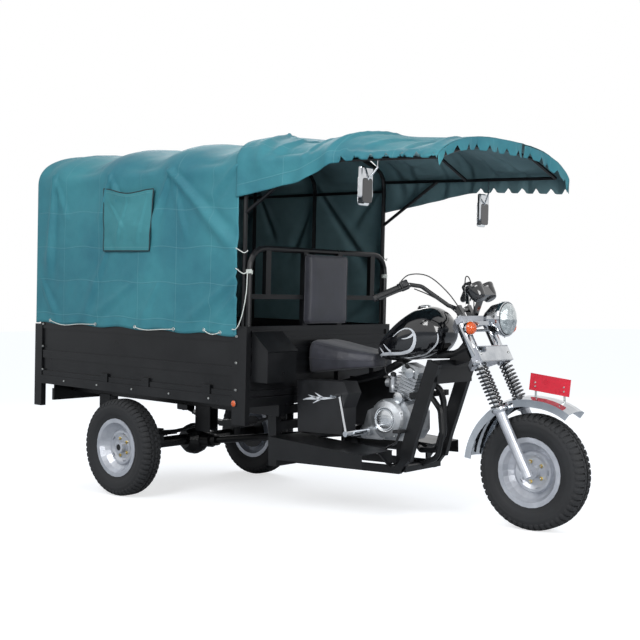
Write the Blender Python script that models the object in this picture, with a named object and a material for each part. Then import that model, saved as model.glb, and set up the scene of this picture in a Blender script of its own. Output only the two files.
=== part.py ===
"""Cargo motor tricycle with a tarpaulin-covered load bed and a cloth canopy over the rider.

Units are metres and +Z is up. Everything hangs on the "vehicle" empty, where X is the distance
ahead of the rear axle, Y is to the rider's left and Z is the height above the ground. The load bed
hangs on an empty that is pitched nose-down, the fork on an empty that lies along the steering axis.
"""
import math

import bmesh
import bpy
from mathutils import Matrix, Vector

# Whole vehicle
WHEELBASE = 2.42
TRACK = 1.15
BED_PITCH = math.radians(2.2)
GAP = 0.0003
OVERRUN = 0.02

# Wheels
TYRE_RADIUS = 0.285
TYRE_HALF_WIDTH = 0.070
BEAD_HALF_WIDTH = 0.0515
SEAT_RADIUS = 0.152
FLANGE_RADIUS = 0.172
RIM_WALL = 0.004
WELL_DEPTH = 0.015
DISC_RADIUS = 0.098
HUB_RADIUS = 0.034
HUB_LENGTH = 0.034
DRUM_RADIUS = 0.105
DRUM_DEPTH = 0.045
SHAFT_RADIUS = 0.0185
FRONT_SHAFT_RADIUS = 0.0095
SLOT_COUNT = 5
SLOT_CIRCLE = 0.091
SLOT_WIDTH = 0.012
SLOT_LENGTH = 0.026
SLOT_DEPTH = 0.012
TYRE_STEPS = 40
RIM_STEPS = 28
# The tyre's half section: share of the height above the seat, share of the half width
TYRE_SECTION_SHARES = ((0.17, 0.736), (0.29, 0.87), (0.53, 1.0), (0.80, 0.95), (0.94, 0.80), (1.0, 0.45))

# Load bed, in the pitched frame
BED_REAR = -0.825
BED_FRONT = 1.035
BED_HALF_WIDTH = 0.625
PANEL_BOTTOM = 0.664
PANEL_TOP = 1.040
PANEL_WALL = 0.030
PANEL_RIB = 0.008
PANEL_INSET = 0.005
SILL_WIDTH = 0.040
SILL_BOTTOM = 0.611
FLOOR_THICKNESS = 0.006
FLOOR_RAISE = 0.0012
FLOOR_CLEARANCE = 0.003
REAR_POST_LENGTH = 0.071
REAR_POST_BOTTOM = 0.470
REAR_POST_TOP = 0.985
FRONT_POST_LENGTH = 0.100
FRONT_POST_BOTTOM = 0.516
POST_THICKNESS = 0.035
POST_CLEARANCE = 0.004
CROSS_MEMBER_COUNT = 5
CROSS_MEMBER_WIDTH = 0.040
SIDE_HINGE_PLACES = (-0.135, 0.235, 0.737)
SIDE_HINGE_LENGTH = 0.060
SIDE_HINGE_HEIGHT = 0.050
SIDE_HINGE_THICKNESS = 0.006
# Side panel ribs: share of the panel's height where each starts and ends
PANEL_RIB_SHARES = ((0.0, 0.08), (0.29, 0.42), (0.78, 1.0))
HEADBOARD_RIB_SHARES = ((0.0, 0.09), (0.20, 0.29), (0.40, 0.49), (0.60, 0.69), (0.78, 0.84), (0.92, 1.0))

# Tailgate
GATE_CLEARANCE = 0.006
HINGE_OFFSET = 0.009
HINGE_RADIUS = 0.008
HINGE_LENGTH = 0.070
HINGE_PLACE_SHARES = (-0.72, 0.0, 0.72)
HINGE_ARM = 0.012

# Chassis
RAIL_HALF_SPACING = 0.330
RAIL_WIDTH = 0.050
RAIL_HEIGHT = 0.066
RAIL_REAR = -0.785
RAIL_FRONT = 1.030
CHASSIS_CROSS_PLACES = (-0.765, -0.30, 0.25, 0.66, 1.005)
CHASSIS_CROSS_WIDTH = 0.040
CHASSIS_CROSS_HEIGHT = 0.045
HANGER_FRONT = 0.500
HANGER_LENGTH = 0.120
REAR_HANGER_FRONT = -0.400
REAR_HANGER_LENGTH = 0.100
HANGER_BOTTOM = 0.405
HANGER_WALL = 0.006
UPRIGHT_FRONT = 1.020
UPRIGHT_LENGTH = 0.060
UPRIGHT_HALF_SPACING = 0.325
UPRIGHT_WIDTH = 0.040
SADDLE_PLACES = (1.16, 1.41)
SADDLE_HALF_WIDTH = 0.015
SADDLE_LENGTH = 0.030
TANK_PAD_PLACES = (1.62, 1.84)
COVER_STAY_PLACE = 1.25
COVER_STAY_RADIUS = 0.008
ENGINE_MOUNT_PLACE = 1.61
BOARD_STAY_PLACES = (1.080, 1.660)
BOARD_STAY_THICKNESS = 0.012
BOARD_STAY_REACH = 0.120

# Rear axle and springs
AXLE_TUBE_RADIUS = 0.034
AXLE_TUBE_SIDES = 16
DIFF_RADIUS = 0.098
DIFF_HALF_WIDTH = 0.085
DIFF_NOSE_RADIUS = 0.045
DIFF_NOSE_LENGTH = 0.165
BACKING_THICKNESS = 0.010
PERCH_HALF_LENGTH = 0.055
PERCH_HEIGHT = 0.012
LEAF_COUNT = 5
LEAF_THICKNESS = 0.007
LEAF_WIDTH = 0.055
LEAF_HALF_LENGTH = 0.430
LEAF_RISE = 0.075
LEAF_STEP = 0.085
EYE_RADIUS = 0.017
CLAMP_HEIGHT = 0.010
PROP_SHAFT_RADIUS = 0.022
PROP_SHAFT_FRONT = 1.36
PROP_SHAFT_FRONT_HEIGHT = 0.415
PROP_SHAFT_CLEARANCE = 0.0042

# Covered bow frame, in the pitched frame
HOOP_PLACES = (-0.640, -0.100, 0.430, 0.985)
HOOP_RADIUS = 0.0125
HOOP_HALF_WIDTH = BED_HALF_WIDTH - HOOP_RADIUS * 2
HOOP_HEIGHT = 1.025
HOOP_RISE = 0.165
HOOP_CROWN = PANEL_TOP + HOOP_HEIGHT
HOOP_SHOULDER = HOOP_CROWN - HOOP_RISE
HOOP_BEND = 0.110
PURLIN_RADIUS = 0.010
CANOPY_RAIL_FRONT = 2.170
CANOPY_RAIL_TAPER = 0.040
CANOPY_RAIL_HALF_WIDTH = HOOP_HALF_WIDTH - CANOPY_RAIL_TAPER
CANOPY_RAIL_DROP = 0.030
CANOPY_BOW_PLACE = 1.590
STRUT_DROP = 0.262
STRUT_BOTTOM = HOOP_SHOULDER - STRUT_DROP
STRUT_REACH = 0.404
STRUT_RADIUS = 0.010

# Tarpaulin and canopy cloth, in the pitched frame
CLOTH_THICKNESS = 0.004
CLOTH_CLEARANCE = 0.0005
TARP_FRONT = 0.962
TARP_LAP = 0.050
TARP_BOTTOM = PANEL_TOP - TARP_LAP
TARP_STANDOFF = 0.0075
TARP_HALF_WIDTH = BED_HALF_WIDTH + TARP_STANDOFF
TARP_REAR = BED_REAR - TARP_STANDOFF
TARP_CORNER = 0.035
CURTAIN_CLEARANCE = 0.007
CURTAIN_BOTTOM = PANEL_TOP + CURTAIN_CLEARANCE
CANOPY_SEAM = 0.004
CANOPY_REAR = TARP_FRONT + CANOPY_SEAM
CANOPY_OVERHANG = 0.050
CANOPY_FRONT = CANOPY_RAIL_FRONT + CANOPY_OVERHANG
SKIRT_REAR_DROP = 0.176
SKIRT_MIDDLE_DROP = 0.110
SKIRT_FRONT_DROP = 0.038
SKIRT_LEFT_DROP = 0.088
VALANCE_DEPTH = 0.080
CANOPY_FRONT_DROP = 0.075
ROOF_STEPS = 6

# Guard behind the rider, in the pitched frame
GUARD_X = 1.012
GUARD_INSET = 0.035
GUARD_HALF_WIDTH = BED_HALF_WIDTH - GUARD_INSET
GUARD_HEIGHT = 0.416
GUARD_TOP = PANEL_TOP + GUARD_HEIGHT
GUARD_BEND = 0.110
GUARD_RADIUS = 0.0165
GUARD_BAR_DROP = 0.258
GUARD_BAR_HEIGHT = GUARD_TOP - GUARD_BAR_DROP
GUARD_BAR_SIZE = 0.026
GUARD_UPRIGHT_SIDE = 0.455
GUARD_UPRIGHT_PAD = 0.150
GUARD_UPRIGHT_SIZE = 0.040
PAD_THICKNESS = 0.055
PAD_HALF_WIDTH = 0.168
PAD_FOOT = 0.008
PAD_BOTTOM = PANEL_TOP + PAD_FOOT
PAD_HEAD_DROP = 0.018
PAD_TOP = GUARD_TOP - PAD_HEAD_DROP
PAD_EDGE = 0.014

# Toolbox on the headboard, in the pitched frame
TOOLBOX_INSET = 0.040
TOOLBOX_LENGTH = 0.225
TOOLBOX_OUTER = BED_HALF_WIDTH - TOOLBOX_INSET
TOOLBOX_INNER = TOOLBOX_OUTER - TOOLBOX_LENGTH
TOOLBOX_DEPTH = 0.118
TOOLBOX_BOTTOM = 0.747
TOOLBOX_FRONT_TOP = 0.912
TOOLBOX_REAR_TOP = 1.012
TOOLBOX_WALL = 0.004
LID_THICKNESS = 0.005
LID_HINGE_RADIUS = 0.004

# Front frame
BEAM_HALF_SPACING = 0.160
BEAM_WIDTH = 0.030
BEAM_DEPTH = 0.074
BEAM_TOP = (1.945, 0.815)
BEAM_ROUTE = ((1.915, 0.735), (1.850, 0.560), (1.800, 0.430), (1.762, 0.310))
LOWER_RAIL_HEIGHT = 0.250
LOWER_RAIL_DEPTH = 0.040
LOWER_RAIL_FRONT = 1.715
HEAD_TUBE_RADIUS = 0.027
BACKBONE_RADIUS = 0.021
BACKBONE_ROUTE = ((1.960, 0.850), (1.700, 0.842), (1.480, 0.735), (1.110, 0.650), (1.092, 0.500), (0.995, 0.450))
GUSSET_THICKNESS = 0.008
CROSS_PLATE_BOTTOM = 0.705
CROSS_PLATE_TOP = 0.790
ENGINE_HOOP_RADIUS = 0.015
ENGINE_HOOP_ROUTE = ((1.800, 0.640), (1.868, 0.560), (1.878, 0.430), (1.850, 0.310), (1.740, 0.262))

# Running boards and side covers
BOARD_REAR = 1.050
BOARD_FRONT = 1.690
BOARD_INNER = 0.180
BOARD_OUTER = 0.440
BOARD_REAR_TOP = 0.405
BOARD_FRONT_TOP = 0.352
BOARD_WALL = 0.004
BOARD_BOTTOM = 0.282
COVER_REAR = 1.125
COVER_FRONT = 1.480
COVER_BOTTOM = 0.425
COVER_TOP = 0.705
COVER_OUTER = 0.285
COVER_INNER = 0.172

# Seat and tank
SEAT_REAR = 1.085
SEAT_FRONT = 1.500
SEAT_BOTTOM = 0.735
SEAT_HALF_WIDTH = 0.165
SEAT_NOSE_HALF_WIDTH = 0.095
SEAT_REAR_TOP = 0.925
SEAT_FRONT_TOP = 0.850
SEAT_RISE_SHARE = 0.35
TANK_REAR = 1.503
TANK_FRONT = 1.935
TANK_BOTTOM = 0.812
TANK_TOP = 1.085
TANK_HALF_WIDTH = 0.140
TANK_SIDES = 20
TUNNEL_HALF_WIDTH = 0.030
TUNNEL_TOP = 0.882
# Tank stations: share of the length, then of the half width, bottom and top of the height
TANK_STATION_SHARES = ((0.0, 0.42, 0.10, 0.30), (0.12, 0.66, 0.0, 0.44), (0.32, 0.90, 0.0, 0.78),
                       (0.52, 1.0, 0.02, 0.96), (0.72, 1.0, 0.08, 1.0), (0.88, 0.88, 0.18, 0.93),
                       (0.97, 0.66, 0.32, 0.78), (1.0, 0.40, 0.42, 0.68))
FILLER_RADIUS = 0.034
FILLER_HEIGHT = 0.012
FILLER_PLACE_SHARE = 0.62

# Engine
CRANK_X = 1.610
CRANK_Z = 0.505
CASE_HALF_WIDTH = 0.090
CASE_REAR = 1.420
CASE_FRONT = 1.740
CASE_BOTTOM = 0.392
CASE_TOP = 0.600
COVER_RADIUS = 0.108
COVER_STANDOUT = 0.050
COVER_SIDES = 28
CYLINDER_LEAN = math.radians(20)
CYLINDER_LENGTH = 0.128
CYLINDER_BASE = (1.665, 0.600)
FIN_HALF_SIZE = 0.064
FIN_THICKNESS = 0.005
FIN_COUNT = 7
CORE_HALF_SIZE = 0.048
HEAD_HALF_SIZE = 0.056
HEAD_HEIGHT = 0.050
KICK_PIVOT = (1.472, 0.432)
KICK_TOP = (1.428, 0.632)
KICK_RADIUS = 0.007
KICK_REACH = 0.302
KICK_PEDAL = 0.060
CARB_RADIUS = 0.024
CARB_HEIGHT = 0.690
EXHAUST_RADIUS = 0.017
MUFFLER_RADIUS = 0.042
MUFFLER_LENGTH = 0.340
EXHAUST_ROUTE = ((1.7733, 0.000, 0.708), (1.845, 0.030, 0.672), (1.850, 0.058, 0.600), (1.848, 0.062, 0.430),
                 (1.800, 0.062, 0.338), (1.690, 0.080, 0.330), (1.560, 0.235, 0.328), (1.450, 0.290, 0.328))

# Steering and fork, along the steering axis
RAKE = math.radians(26.5)
AXLE_LEAD = 0.055
LEG_LEAD = 0.078
LEG_HALF_SPACING = 0.118
LEG_RADIUS = 0.025
LEG_BOTTOM = -0.028
LEG_TOP = 0.335
STANCHION_RADIUS = 0.0165
STANCHION_TOP = 0.835
SPRING_SEAT_RADIUS = 0.0365
SPRING_SEAT_HEIGHT = 0.012
LOWER_CLAMP_BOTTOM = 0.585
CLAMP_THICKNESS = 0.030
CLAMP_HALF_WIDTH = 0.149
CLAMP_REAR = -0.034
CLAMP_NECK = 0.036
UPPER_CLAMP_BOTTOM = 0.800
SLEEVE_RADIUS = 0.026
COVER_PLATE_BOTTOM = 0.572
COVER_PLATE_TOP = 0.656
COVER_PLATE_THICKNESS = 0.012
FORK_SIDES = 14
COIL_RADIUS = 0.0325
COIL_WIRE = 0.0045
COIL_TURNS = 8
COIL_TURN_STEPS = 10
COIL_SIDES = 5
COIL_END = 0.0009
STEER_CLEARANCE = 0.001

# Handlebar, in the fork's frame
BAR_RADIUS = 0.011
GRIP_RADIUS = 0.017
GRIP_LENGTH = 0.125
BAR_ROUTE = ((0.050, 0.030, 0.889), (0.029, 0.090, 0.926), (-0.002, 0.210, 1.051), (-0.029, 0.280, 1.075),
             (-0.158, 0.400, 1.064))
BAR_BEND = 0.050
RISER_SIZE = 0.030
RISER_HALF_SPACING = 0.045
LEVER_LENGTH = 0.165
LEVER_RADIUS = 0.0055
LEVER_STANDOFF = 0.048

# What the fork carries, level, from the front wheel's centre
LAMP_PLACE = (-0.205, 0.748)
LAMP_RADIUS = 0.088
LAMP_DEPTH = 0.130
LAMP_SIDES = 28
LAMP_EAR_RADIUS = 0.010
LAMP_EAR_DROP = 0.020
GAUGE_PLACE = (-0.292, 0.880)
GAUGE_RADIUS = 0.043
GAUGE_HEIGHT = 0.080
GAUGE_HALF_SPACING = 0.052
GAUGE_TILT = math.radians(-32)
GAUGE_FOOT_LENGTH = 0.030
INDICATOR_PLACE = (-0.245, 0.705)
INDICATOR_HALF_SPACING = 0.190
INDICATOR_RADIUS = 0.033
INDICATOR_DEPTH = 0.060
INDICATOR_STALK = 0.008
FENDER_RADIUS = 0.358
FENDER_HALF_WIDTH = 0.078
FENDER_CROWN = 0.016
FENDER_LIP = 0.036
FENDER_WALL = 0.003
FENDER_FRONT_ANGLE = math.radians(52)
FENDER_REAR_ANGLE = math.radians(172)
FENDER_STEPS = 20
FENDER_LUG = 0.020
PLATE_CORNERS = ((-0.027, 0.400), (0.192, 0.371), (0.206, 0.456), (-0.021, 0.485))
PLATE_THICKNESS = 0.004
PLATE_POST_PLACES = (0.010, 0.165)
PLATE_POST_WIDTH = 0.012

# Mirrors hung from the canopy rails, in the pitched frame
MIRROR_RIGHT_X = 1.775
MIRROR_RIGHT_DROP = 0.135
MIRROR_LEFT_X = 1.685
MIRROR_LEFT_DROP = 0.170
MIRROR_ARM_LEAD = 0.060
MIRROR_HALF_HEIGHT = 0.075
MIRROR_HALF_WIDTH = 0.048
MIRROR_THICKNESS = 0.022
MIRROR_ROD = 0.005

# Rear lamps and brake rod
LAMP_BAR_INSET = 0.025
LAMP_BAR_X = BED_REAR + LAMP_BAR_INSET
LAMP_BAR_DROP = 0.081
LAMP_BAR_HEIGHT = SILL_BOTTOM - LAMP_BAR_DROP
TAIL_LAMP_INSET = 0.195
TAIL_LAMP_HALF_SPACING = BED_HALF_WIDTH - TAIL_LAMP_INSET
TAIL_LAMP_WIDTH = 0.130
TAIL_LAMP_HEIGHT = 0.075
TAIL_LAMP_DEPTH = 0.035
LAMP_BAR_THICKNESS = 0.004
ROD_RADIUS = 0.004

# Where the rear-most piece, the tailgate's hinge barrel, stands when the bed is pitched
HINGE_X = BED_REAR - HINGE_OFFSET
HINGE_Z = PANEL_BOTTOM + HINGE_RADIUS
REAR_OVERHANG = -(HINGE_X * math.cos(BED_PITCH) + HINGE_Z * math.sin(BED_PITCH)) + HINGE_RADIUS
REAR_AXLE_X = (REAR_OVERHANG - WHEELBASE - TYRE_RADIUS) / 2


def clear_scene():
    """Start from an empty scene."""
    for old in list(bpy.data.objects):
        bpy.data.objects.remove(old, do_unlink=True)


def material(name, hex_colour, roughness, metallic=0.0):
    """One Principled material per kind of surface."""
    known = bpy.data.materials.get(name)
    if known:
        return known
    made = bpy.data.materials.new(name)
    made.use_nodes = True
    shader = made.node_tree.nodes["Principled BSDF"]
    channels = [int(hex_colour[i:i + 2], 16) / 255 for i in (1, 3, 5)]
    linear = [c / 12.92 if c <= 0.04045 else ((c + 0.055) / 1.055) ** 2.4 for c in channels]
    shader.inputs["Base Color"].default_value = (*linear, 1)
    shader.inputs["Roughness"].default_value = roughness
    shader.inputs["Metallic"].default_value = metallic
    return made


def black_paint():
    return material("black_paint", "#17181A", 0.35)


def silver_paint():
    return material("silver_paint", "#B9BEC6", 0.35, 0.6)


def chrome():
    return material("chrome", "#D5D8DC", 0.08, 1.0)


def cast_alloy():
    return material("cast_alloy", "#AEB3B8", 0.45, 0.9)


def rubber():
    return material("rubber", "#202124", 0.85)


def teal_cloth():
    return material("teal_cloth", "#2F7C84", 0.8)


def seat_cover():
    return material("seat_cover", "#2A2B33", 0.6)


def amber():
    return material("amber", "#F26A1B", 0.2)


def red_paint():
    return material("red_paint", "#C8102A", 0.35)


def empty(name, parent=None, location=(0, 0, 0), rotation=(0, 0, 0)):
    """A frame that carries pieces, or a joint's axis."""
    frame = bpy.data.objects.new(name, None)
    bpy.context.collection.objects.link(frame)
    frame.location = location
    frame.rotation_euler = rotation
    frame.parent = parent
    return frame


def piece_from(bm):
    """Turn a bmesh into a loose piece, its faces pointing out."""
    bmesh.ops.recalc_face_normals(bm, faces=bm.faces)
    mesh = bpy.data.meshes.new("piece")
    bm.to_mesh(mesh)
    bm.free()
    piece = bpy.data.objects.new("piece", mesh)
    bpy.context.collection.objects.link(piece)
    return piece


def loft(rings, loop=False):
    """Skin equal rings of points; without a loop the two ends are capped."""
    bm = bmesh.new()
    rows = [[bm.verts.new(point) for point in ring] for ring in rings]
    count = len(rows[0])
    pairs = list(zip(rows, rows[1:]))
    if loop:
        pairs.append((rows[-1], rows[0]))
    for low, high in pairs:
        for i in range(count):
            j = (i + 1) % count
            bm.faces.new((low[i], low[j], high[j], high[i]))
    if not loop:
        bm.faces.new(rows[0])
        bm.faces.new(rows[-1])
    return piece_from(bm)


def prism(outline, axis, start, end):
    """Extrude a flat outline along an axis; its two numbers run along the other two axes in order."""
    places = {"X": lambda a, b, t: (t, a, b), "Y": lambda a, b, t: (a, t, b), "Z": lambda a, b, t: (a, b, t)}
    place = places[axis]
    return loft([[place(a, b, t) for a, b in outline] for t in (start, end)])


def block(low, high):
    """A box between two corners."""
    outline = ((low[0], low[2]), (high[0], low[2]), (high[0], high[2]), (low[0], high[2]))
    return prism(outline, "Y", low[1], high[1])


def turned(profile, axis, centre, steps):
    """Turn a profile of (radius, place along the axis); a profile off the axis closes on itself."""
    frames = {"X": (Vector((0, 1, 0)), Vector((0, 0, 1)), Vector((1, 0, 0))),
              "Y": (Vector((1, 0, 0)), Vector((0, 0, 1)), Vector((0, 1, 0))),
              "Z": (Vector((1, 0, 0)), Vector((0, 1, 0)), Vector((0, 0, 1)))}
    across, up, along = frames[axis]
    middle = Vector(centre)
    bm = bmesh.new()
    rows = []
    for radius, place in profile:
        if radius == 0:
            rows.append([bm.verts.new(middle + along * place)])
            continue
        turns = [2 * math.pi * k / steps for k in range(steps)]
        rows.append([bm.verts.new(middle + along * place + across * (radius * math.cos(t))
                                  + up * (radius * math.sin(t))) for t in turns])
    pairs = list(zip(rows, rows[1:]))
    if profile[0][0] != 0:
        pairs.append((rows[-1], rows[0]))
    for low, high in pairs:
        for i in range(steps):
            j = (i + 1) % steps
            corners = [low[i % len(low)], low[j % len(low)], high[j % len(high)], high[i % len(high)]]
            face = list(dict.fromkeys(corners))
            if len(face) > 2:
                bm.faces.new(face)
    return piece_from(bm)


def rod(radius, axis, centre, start, end, steps=12):
    """A round bar along an axis."""
    return turned(((0, start), (radius, start), (radius, end), (0, end)), axis, centre, steps)


def rounded(points, radius, steps=4):
    """Replace the inner corners of a route by arcs of one radius."""
    route = [Vector(p) for p in points]
    smooth = [route[0]]
    for before, corner, after in zip(route, route[1:], route[2:]):
        back = (before - corner).normalized()
        ahead = (after - corner).normalized()
        half = back.angle(ahead) / 2
        reach = min(radius / math.tan(half), (before - corner).length * 0.48, (after - corner).length * 0.48)
        arc_radius = reach * math.tan(half)
        middle = corner + (back + ahead).normalized() * (arc_radius / math.sin(half))
        first = corner + back * reach - middle
        last = corner + ahead * reach - middle
        sweep_angle = first.angle(last)
        turn_axis = first.cross(last).normalized()
        for k in range(steps + 1):
            turn = Matrix.Rotation(sweep_angle * k / steps, 3, turn_axis)
            smooth.append(middle + turn @ first)
    smooth.append(route[-1])
    return smooth


def swept(points, section, across=(0, 1, 0)):
    """Sweep a flat section along a route with mitred corners; the section's first axis lies near across."""
    route = [Vector(p) for p in points]
    headings = [(b - a).normalized() for a, b in zip(route, route[1:])]
    side = Vector(across)
    side = (side - headings[0] * side.dot(headings[0])).normalized()
    rise = headings[0].cross(side)
    rings = []
    for index, point in enumerate(route):
        before = headings[max(index - 1, 0)]
        after = headings[min(index, len(headings) - 1)]
        normal = (before + after).normalized()
        ring = []
        for u, v in section:
            offset = side * u + rise * v
            ring.append(point + offset - before * (offset.dot(normal) / before.dot(normal)))
        rings.append(ring)
        turn = before.rotation_difference(after)
        side = turn @ side
        rise = turn @ rise
    return loft(rings)


def circle(radius, sides):
    """The section of a round tube."""
    return [(radius * math.cos(2 * math.pi * k / sides), radius * math.sin(2 * math.pi * k / sides))
            for k in range(sides)]


def rectangle(width, height):
    """The section of a box tube."""
    return [(-width / 2, -height / 2), (width / 2, -height / 2), (width / 2, height / 2), (-width / 2, height / 2)]


def moved(piece, matrix):
    """Move a loose piece's mesh."""
    piece.data.transform(matrix)
    return piece


def mirrored(piece):
    """The other side's copy of a loose piece."""
    bm = bmesh.new()
    bm.from_mesh(piece.data)
    for vert in bm.verts:
        vert.co.y = -vert.co.y
    return piece_from(bm)


def both(piece):
    """A loose piece and its mirror image."""
    return [piece, mirrored(piece)]


def finish(name, piece, look, parent, smooth=30):
    """Name a piece as a node, give it its material and hang it on its frame."""
    piece.name = name
    piece.data.name = name
    piece.data.materials.clear()
    piece.data.materials.append(look)
    piece.data.shade_smooth()
    piece.data.set_sharp_from_angle(angle=math.radians(smooth))
    piece.parent = parent
    return piece


def combined(base, others, operation):
    """One exact Boolean of a loose piece with all the others at once, which are used up."""
    if not others:
        return
    tools = bpy.data.collections.new("tools")
    for other in others:
        tools.objects.link(other)
    step = base.modifiers.new("step", "BOOLEAN")
    step.operand_type = "COLLECTION"
    step.collection = tools
    step.operation = operation
    step.solver = "EXACT"
    bpy.context.view_layer.update()
    shape = bpy.data.meshes.new_from_object(base.evaluated_get(bpy.context.evaluated_depsgraph_get()))
    base.modifiers.clear()
    base.data = shape
    for other in others:
        bpy.data.objects.remove(other, do_unlink=True)
    bpy.data.collections.remove(tools)


def fused(name, pieces, look, parent, cuts=(), smooth=30):
    """Join loose pieces into one body, take the cutters out of it, and finish it."""
    base = pieces[0]
    combined(base, pieces[1:], "UNION")
    combined(base, list(cuts), "DIFFERENCE")
    return finish(name, base, look, parent, smooth)


def wheel(name, parent, outboard, shaft_radius):
    """A tyre on a pressed steel wheel with its hub; outboard is the sign of the side that shows."""
    height = TYRE_RADIUS - SEAT_RADIUS
    half = [(SEAT_RADIUS + height * h, TYRE_HALF_WIDTH * w) for h, w in TYRE_SECTION_SHARES]
    section = [(SEAT_RADIUS, BEAD_HALF_WIDTH)] + half
    section += [(r, -a) for r, a in reversed(section)]
    tyre = turned(section, "Y", (0, 0, 0), TYRE_STEPS)
    finish(name + "_tyre", tyre, rubber(), parent, 40)

    seat = SEAT_RADIUS - GAP
    flange = BEAD_HALF_WIDTH + GAP
    well = seat - WELL_DEPTH
    bore = shaft_radius + GAP * 2
    slope = WELL_DEPTH * 0.8
    barrel = [(FLANGE_RADIUS, -flange - RIM_WALL), (FLANGE_RADIUS, -flange), (seat, -flange),
              (well, slope * 2 - flange), (well, flange - slope * 2),
              (seat, flange), (FLANGE_RADIUS, flange), (FLANGE_RADIUS, flange + RIM_WALL),
              (seat - RIM_WALL, flange + RIM_WALL)]
    disc = [(well - RIM_WALL, flange - slope * 2), (DISC_RADIUS + RIM_WALL * 2, 0.0), (DISC_RADIUS, SLOT_DEPTH),
            (DISC_RADIUS - SLOT_DEPTH, SLOT_DEPTH), (HUB_RADIUS * 2, RIM_WALL), (HUB_RADIUS, RIM_WALL),
            (HUB_RADIUS, HUB_LENGTH), (bore, HUB_LENGTH)]
    back = [(bore, -DRUM_DEPTH), (DRUM_RADIUS, -DRUM_DEPTH), (DRUM_RADIUS, -RIM_WALL * 2),
            (well - RIM_WALL, slope * 2 - flange), (seat - RIM_WALL, -flange - RIM_WALL)]
    profile = [(r, outboard * a) for r, a in barrel + disc + back]
    rim = turned(profile, "Y", (0, 0, 0), RIM_STEPS)
    cuts = []
    for k in range(SLOT_COUNT):
        slot = block((SLOT_CIRCLE - SLOT_WIDTH, outboard * RIM_WALL, -SLOT_LENGTH / 2),
                     (SLOT_CIRCLE - SLOT_WIDTH / 2, outboard * (SLOT_DEPTH + OVERRUN), SLOT_LENGTH / 2))
        cuts.append(moved(slot, Matrix.Rotation(2 * math.pi * k / SLOT_COUNT, 4, "Y")))
    fused(name + "_rim", [rim], silver_paint(), parent, cuts, 35)


def rear_axle(vehicle):
    """The live axle: tube, differential, brake backing plates, stub shafts and spring perches."""
    centre = (0, 0, TYRE_RADIUS)
    backing = TRACK / 2 - DRUM_DEPTH - GAP
    plate_inner = backing - BACKING_THICKNESS
    tube = rod(AXLE_TUBE_RADIUS, "Y", centre, -plate_inner - GAP, plate_inner + GAP, AXLE_TUBE_SIDES)
    diff = turned(((0, -DIFF_HALF_WIDTH), (DIFF_RADIUS * 0.55, -DIFF_HALF_WIDTH),
                   (DIFF_RADIUS * 0.9, -DIFF_HALF_WIDTH * 0.5), (DIFF_RADIUS, 0),
                   (DIFF_RADIUS * 0.9, DIFF_HALF_WIDTH * 0.5), (DIFF_RADIUS * 0.55, DIFF_HALF_WIDTH),
                   (0, DIFF_HALF_WIDTH)), "Y", centre, 20)
    nose = rod(DIFF_NOSE_RADIUS, "X", centre, 0, DIFF_NOSE_LENGTH, 16)
    ends = both(turned(((0, plate_inner), (DRUM_RADIUS, plate_inner), (DRUM_RADIUS, backing),
                        (SHAFT_RADIUS, backing), (SHAFT_RADIUS, TRACK / 2 + HUB_LENGTH - RIM_WALL),
                        (0, TRACK / 2 + HUB_LENGTH - RIM_WALL)), "Y", centre, 20))
    top = TYRE_RADIUS + AXLE_TUBE_RADIUS + PERCH_HEIGHT
    perches = both(block((-PERCH_HALF_LENGTH, RAIL_HALF_SPACING - LEAF_WIDTH / 2, TYRE_RADIUS),
                         (PERCH_HALF_LENGTH, RAIL_HALF_SPACING + LEAF_WIDTH / 2, top)))
    fused("rear_axle", [tube, diff, nose] + ends + perches, black_paint(), vehicle)


def leaf_height(x, leaf):
    """Underside of a leaf of the spring pack; leaf 0 is the longest and topmost."""
    seat = TYRE_RADIUS + AXLE_TUBE_RADIUS + PERCH_HEIGHT + GAP
    return seat + (LEAF_COUNT - 1 - leaf) * LEAF_THICKNESS + LEAF_RISE * (x / LEAF_HALF_LENGTH) ** 2


def leaf_spring(vehicle, side, name):
    """A stepped pack of leaves with rolled eyes at both ends and a clamp over the axle."""
    steps = 6
    reaches = [LEAF_HALF_LENGTH - LEAF_STEP * k for k in range(LEAF_COUNT)]
    upper = []
    for k in range(-steps, steps + 1):
        x = LEAF_HALF_LENGTH * k / steps
        upper.append((x, leaf_height(x, 0) + LEAF_THICKNESS))
    lower = []
    for leaf, reach in enumerate(reaches):
        lower.append((reach, leaf_height(reach, leaf)))
        if leaf + 1 < LEAF_COUNT:
            lower.append((reaches[leaf + 1], leaf_height(reaches[leaf + 1], leaf)))
    outline = upper + lower + [(0, leaf_height(0, LEAF_COUNT - 1))] + [(-x, z) for x, z in reversed(lower)]
    inner = RAIL_HALF_SPACING - LEAF_WIDTH / 2
    outer = RAIL_HALF_SPACING + LEAF_WIDTH / 2
    pack = prism(outline, "Y", inner, outer)
    eye_z = leaf_height(LEAF_HALF_LENGTH, 0)
    eyes = [rod(EYE_RADIUS, "Y", (s * LEAF_HALF_LENGTH, 0, eye_z), inner, outer) for s in (-1, 1)]
    top = leaf_height(0, 0) + LEAF_THICKNESS
    clamp = block((-PERCH_HALF_LENGTH, inner, top - LEAF_THICKNESS), (PERCH_HALF_LENGTH, outer, top + CLAMP_HEIGHT))
    pieces = [pack] + eyes + [clamp]
    if side < 0:
        turned_pieces = [mirrored(p) for p in pieces]
        for p in pieces:
            bpy.data.objects.remove(p, do_unlink=True)
        pieces = turned_pieces
    fused(name, pieces, black_paint(), vehicle)


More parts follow.
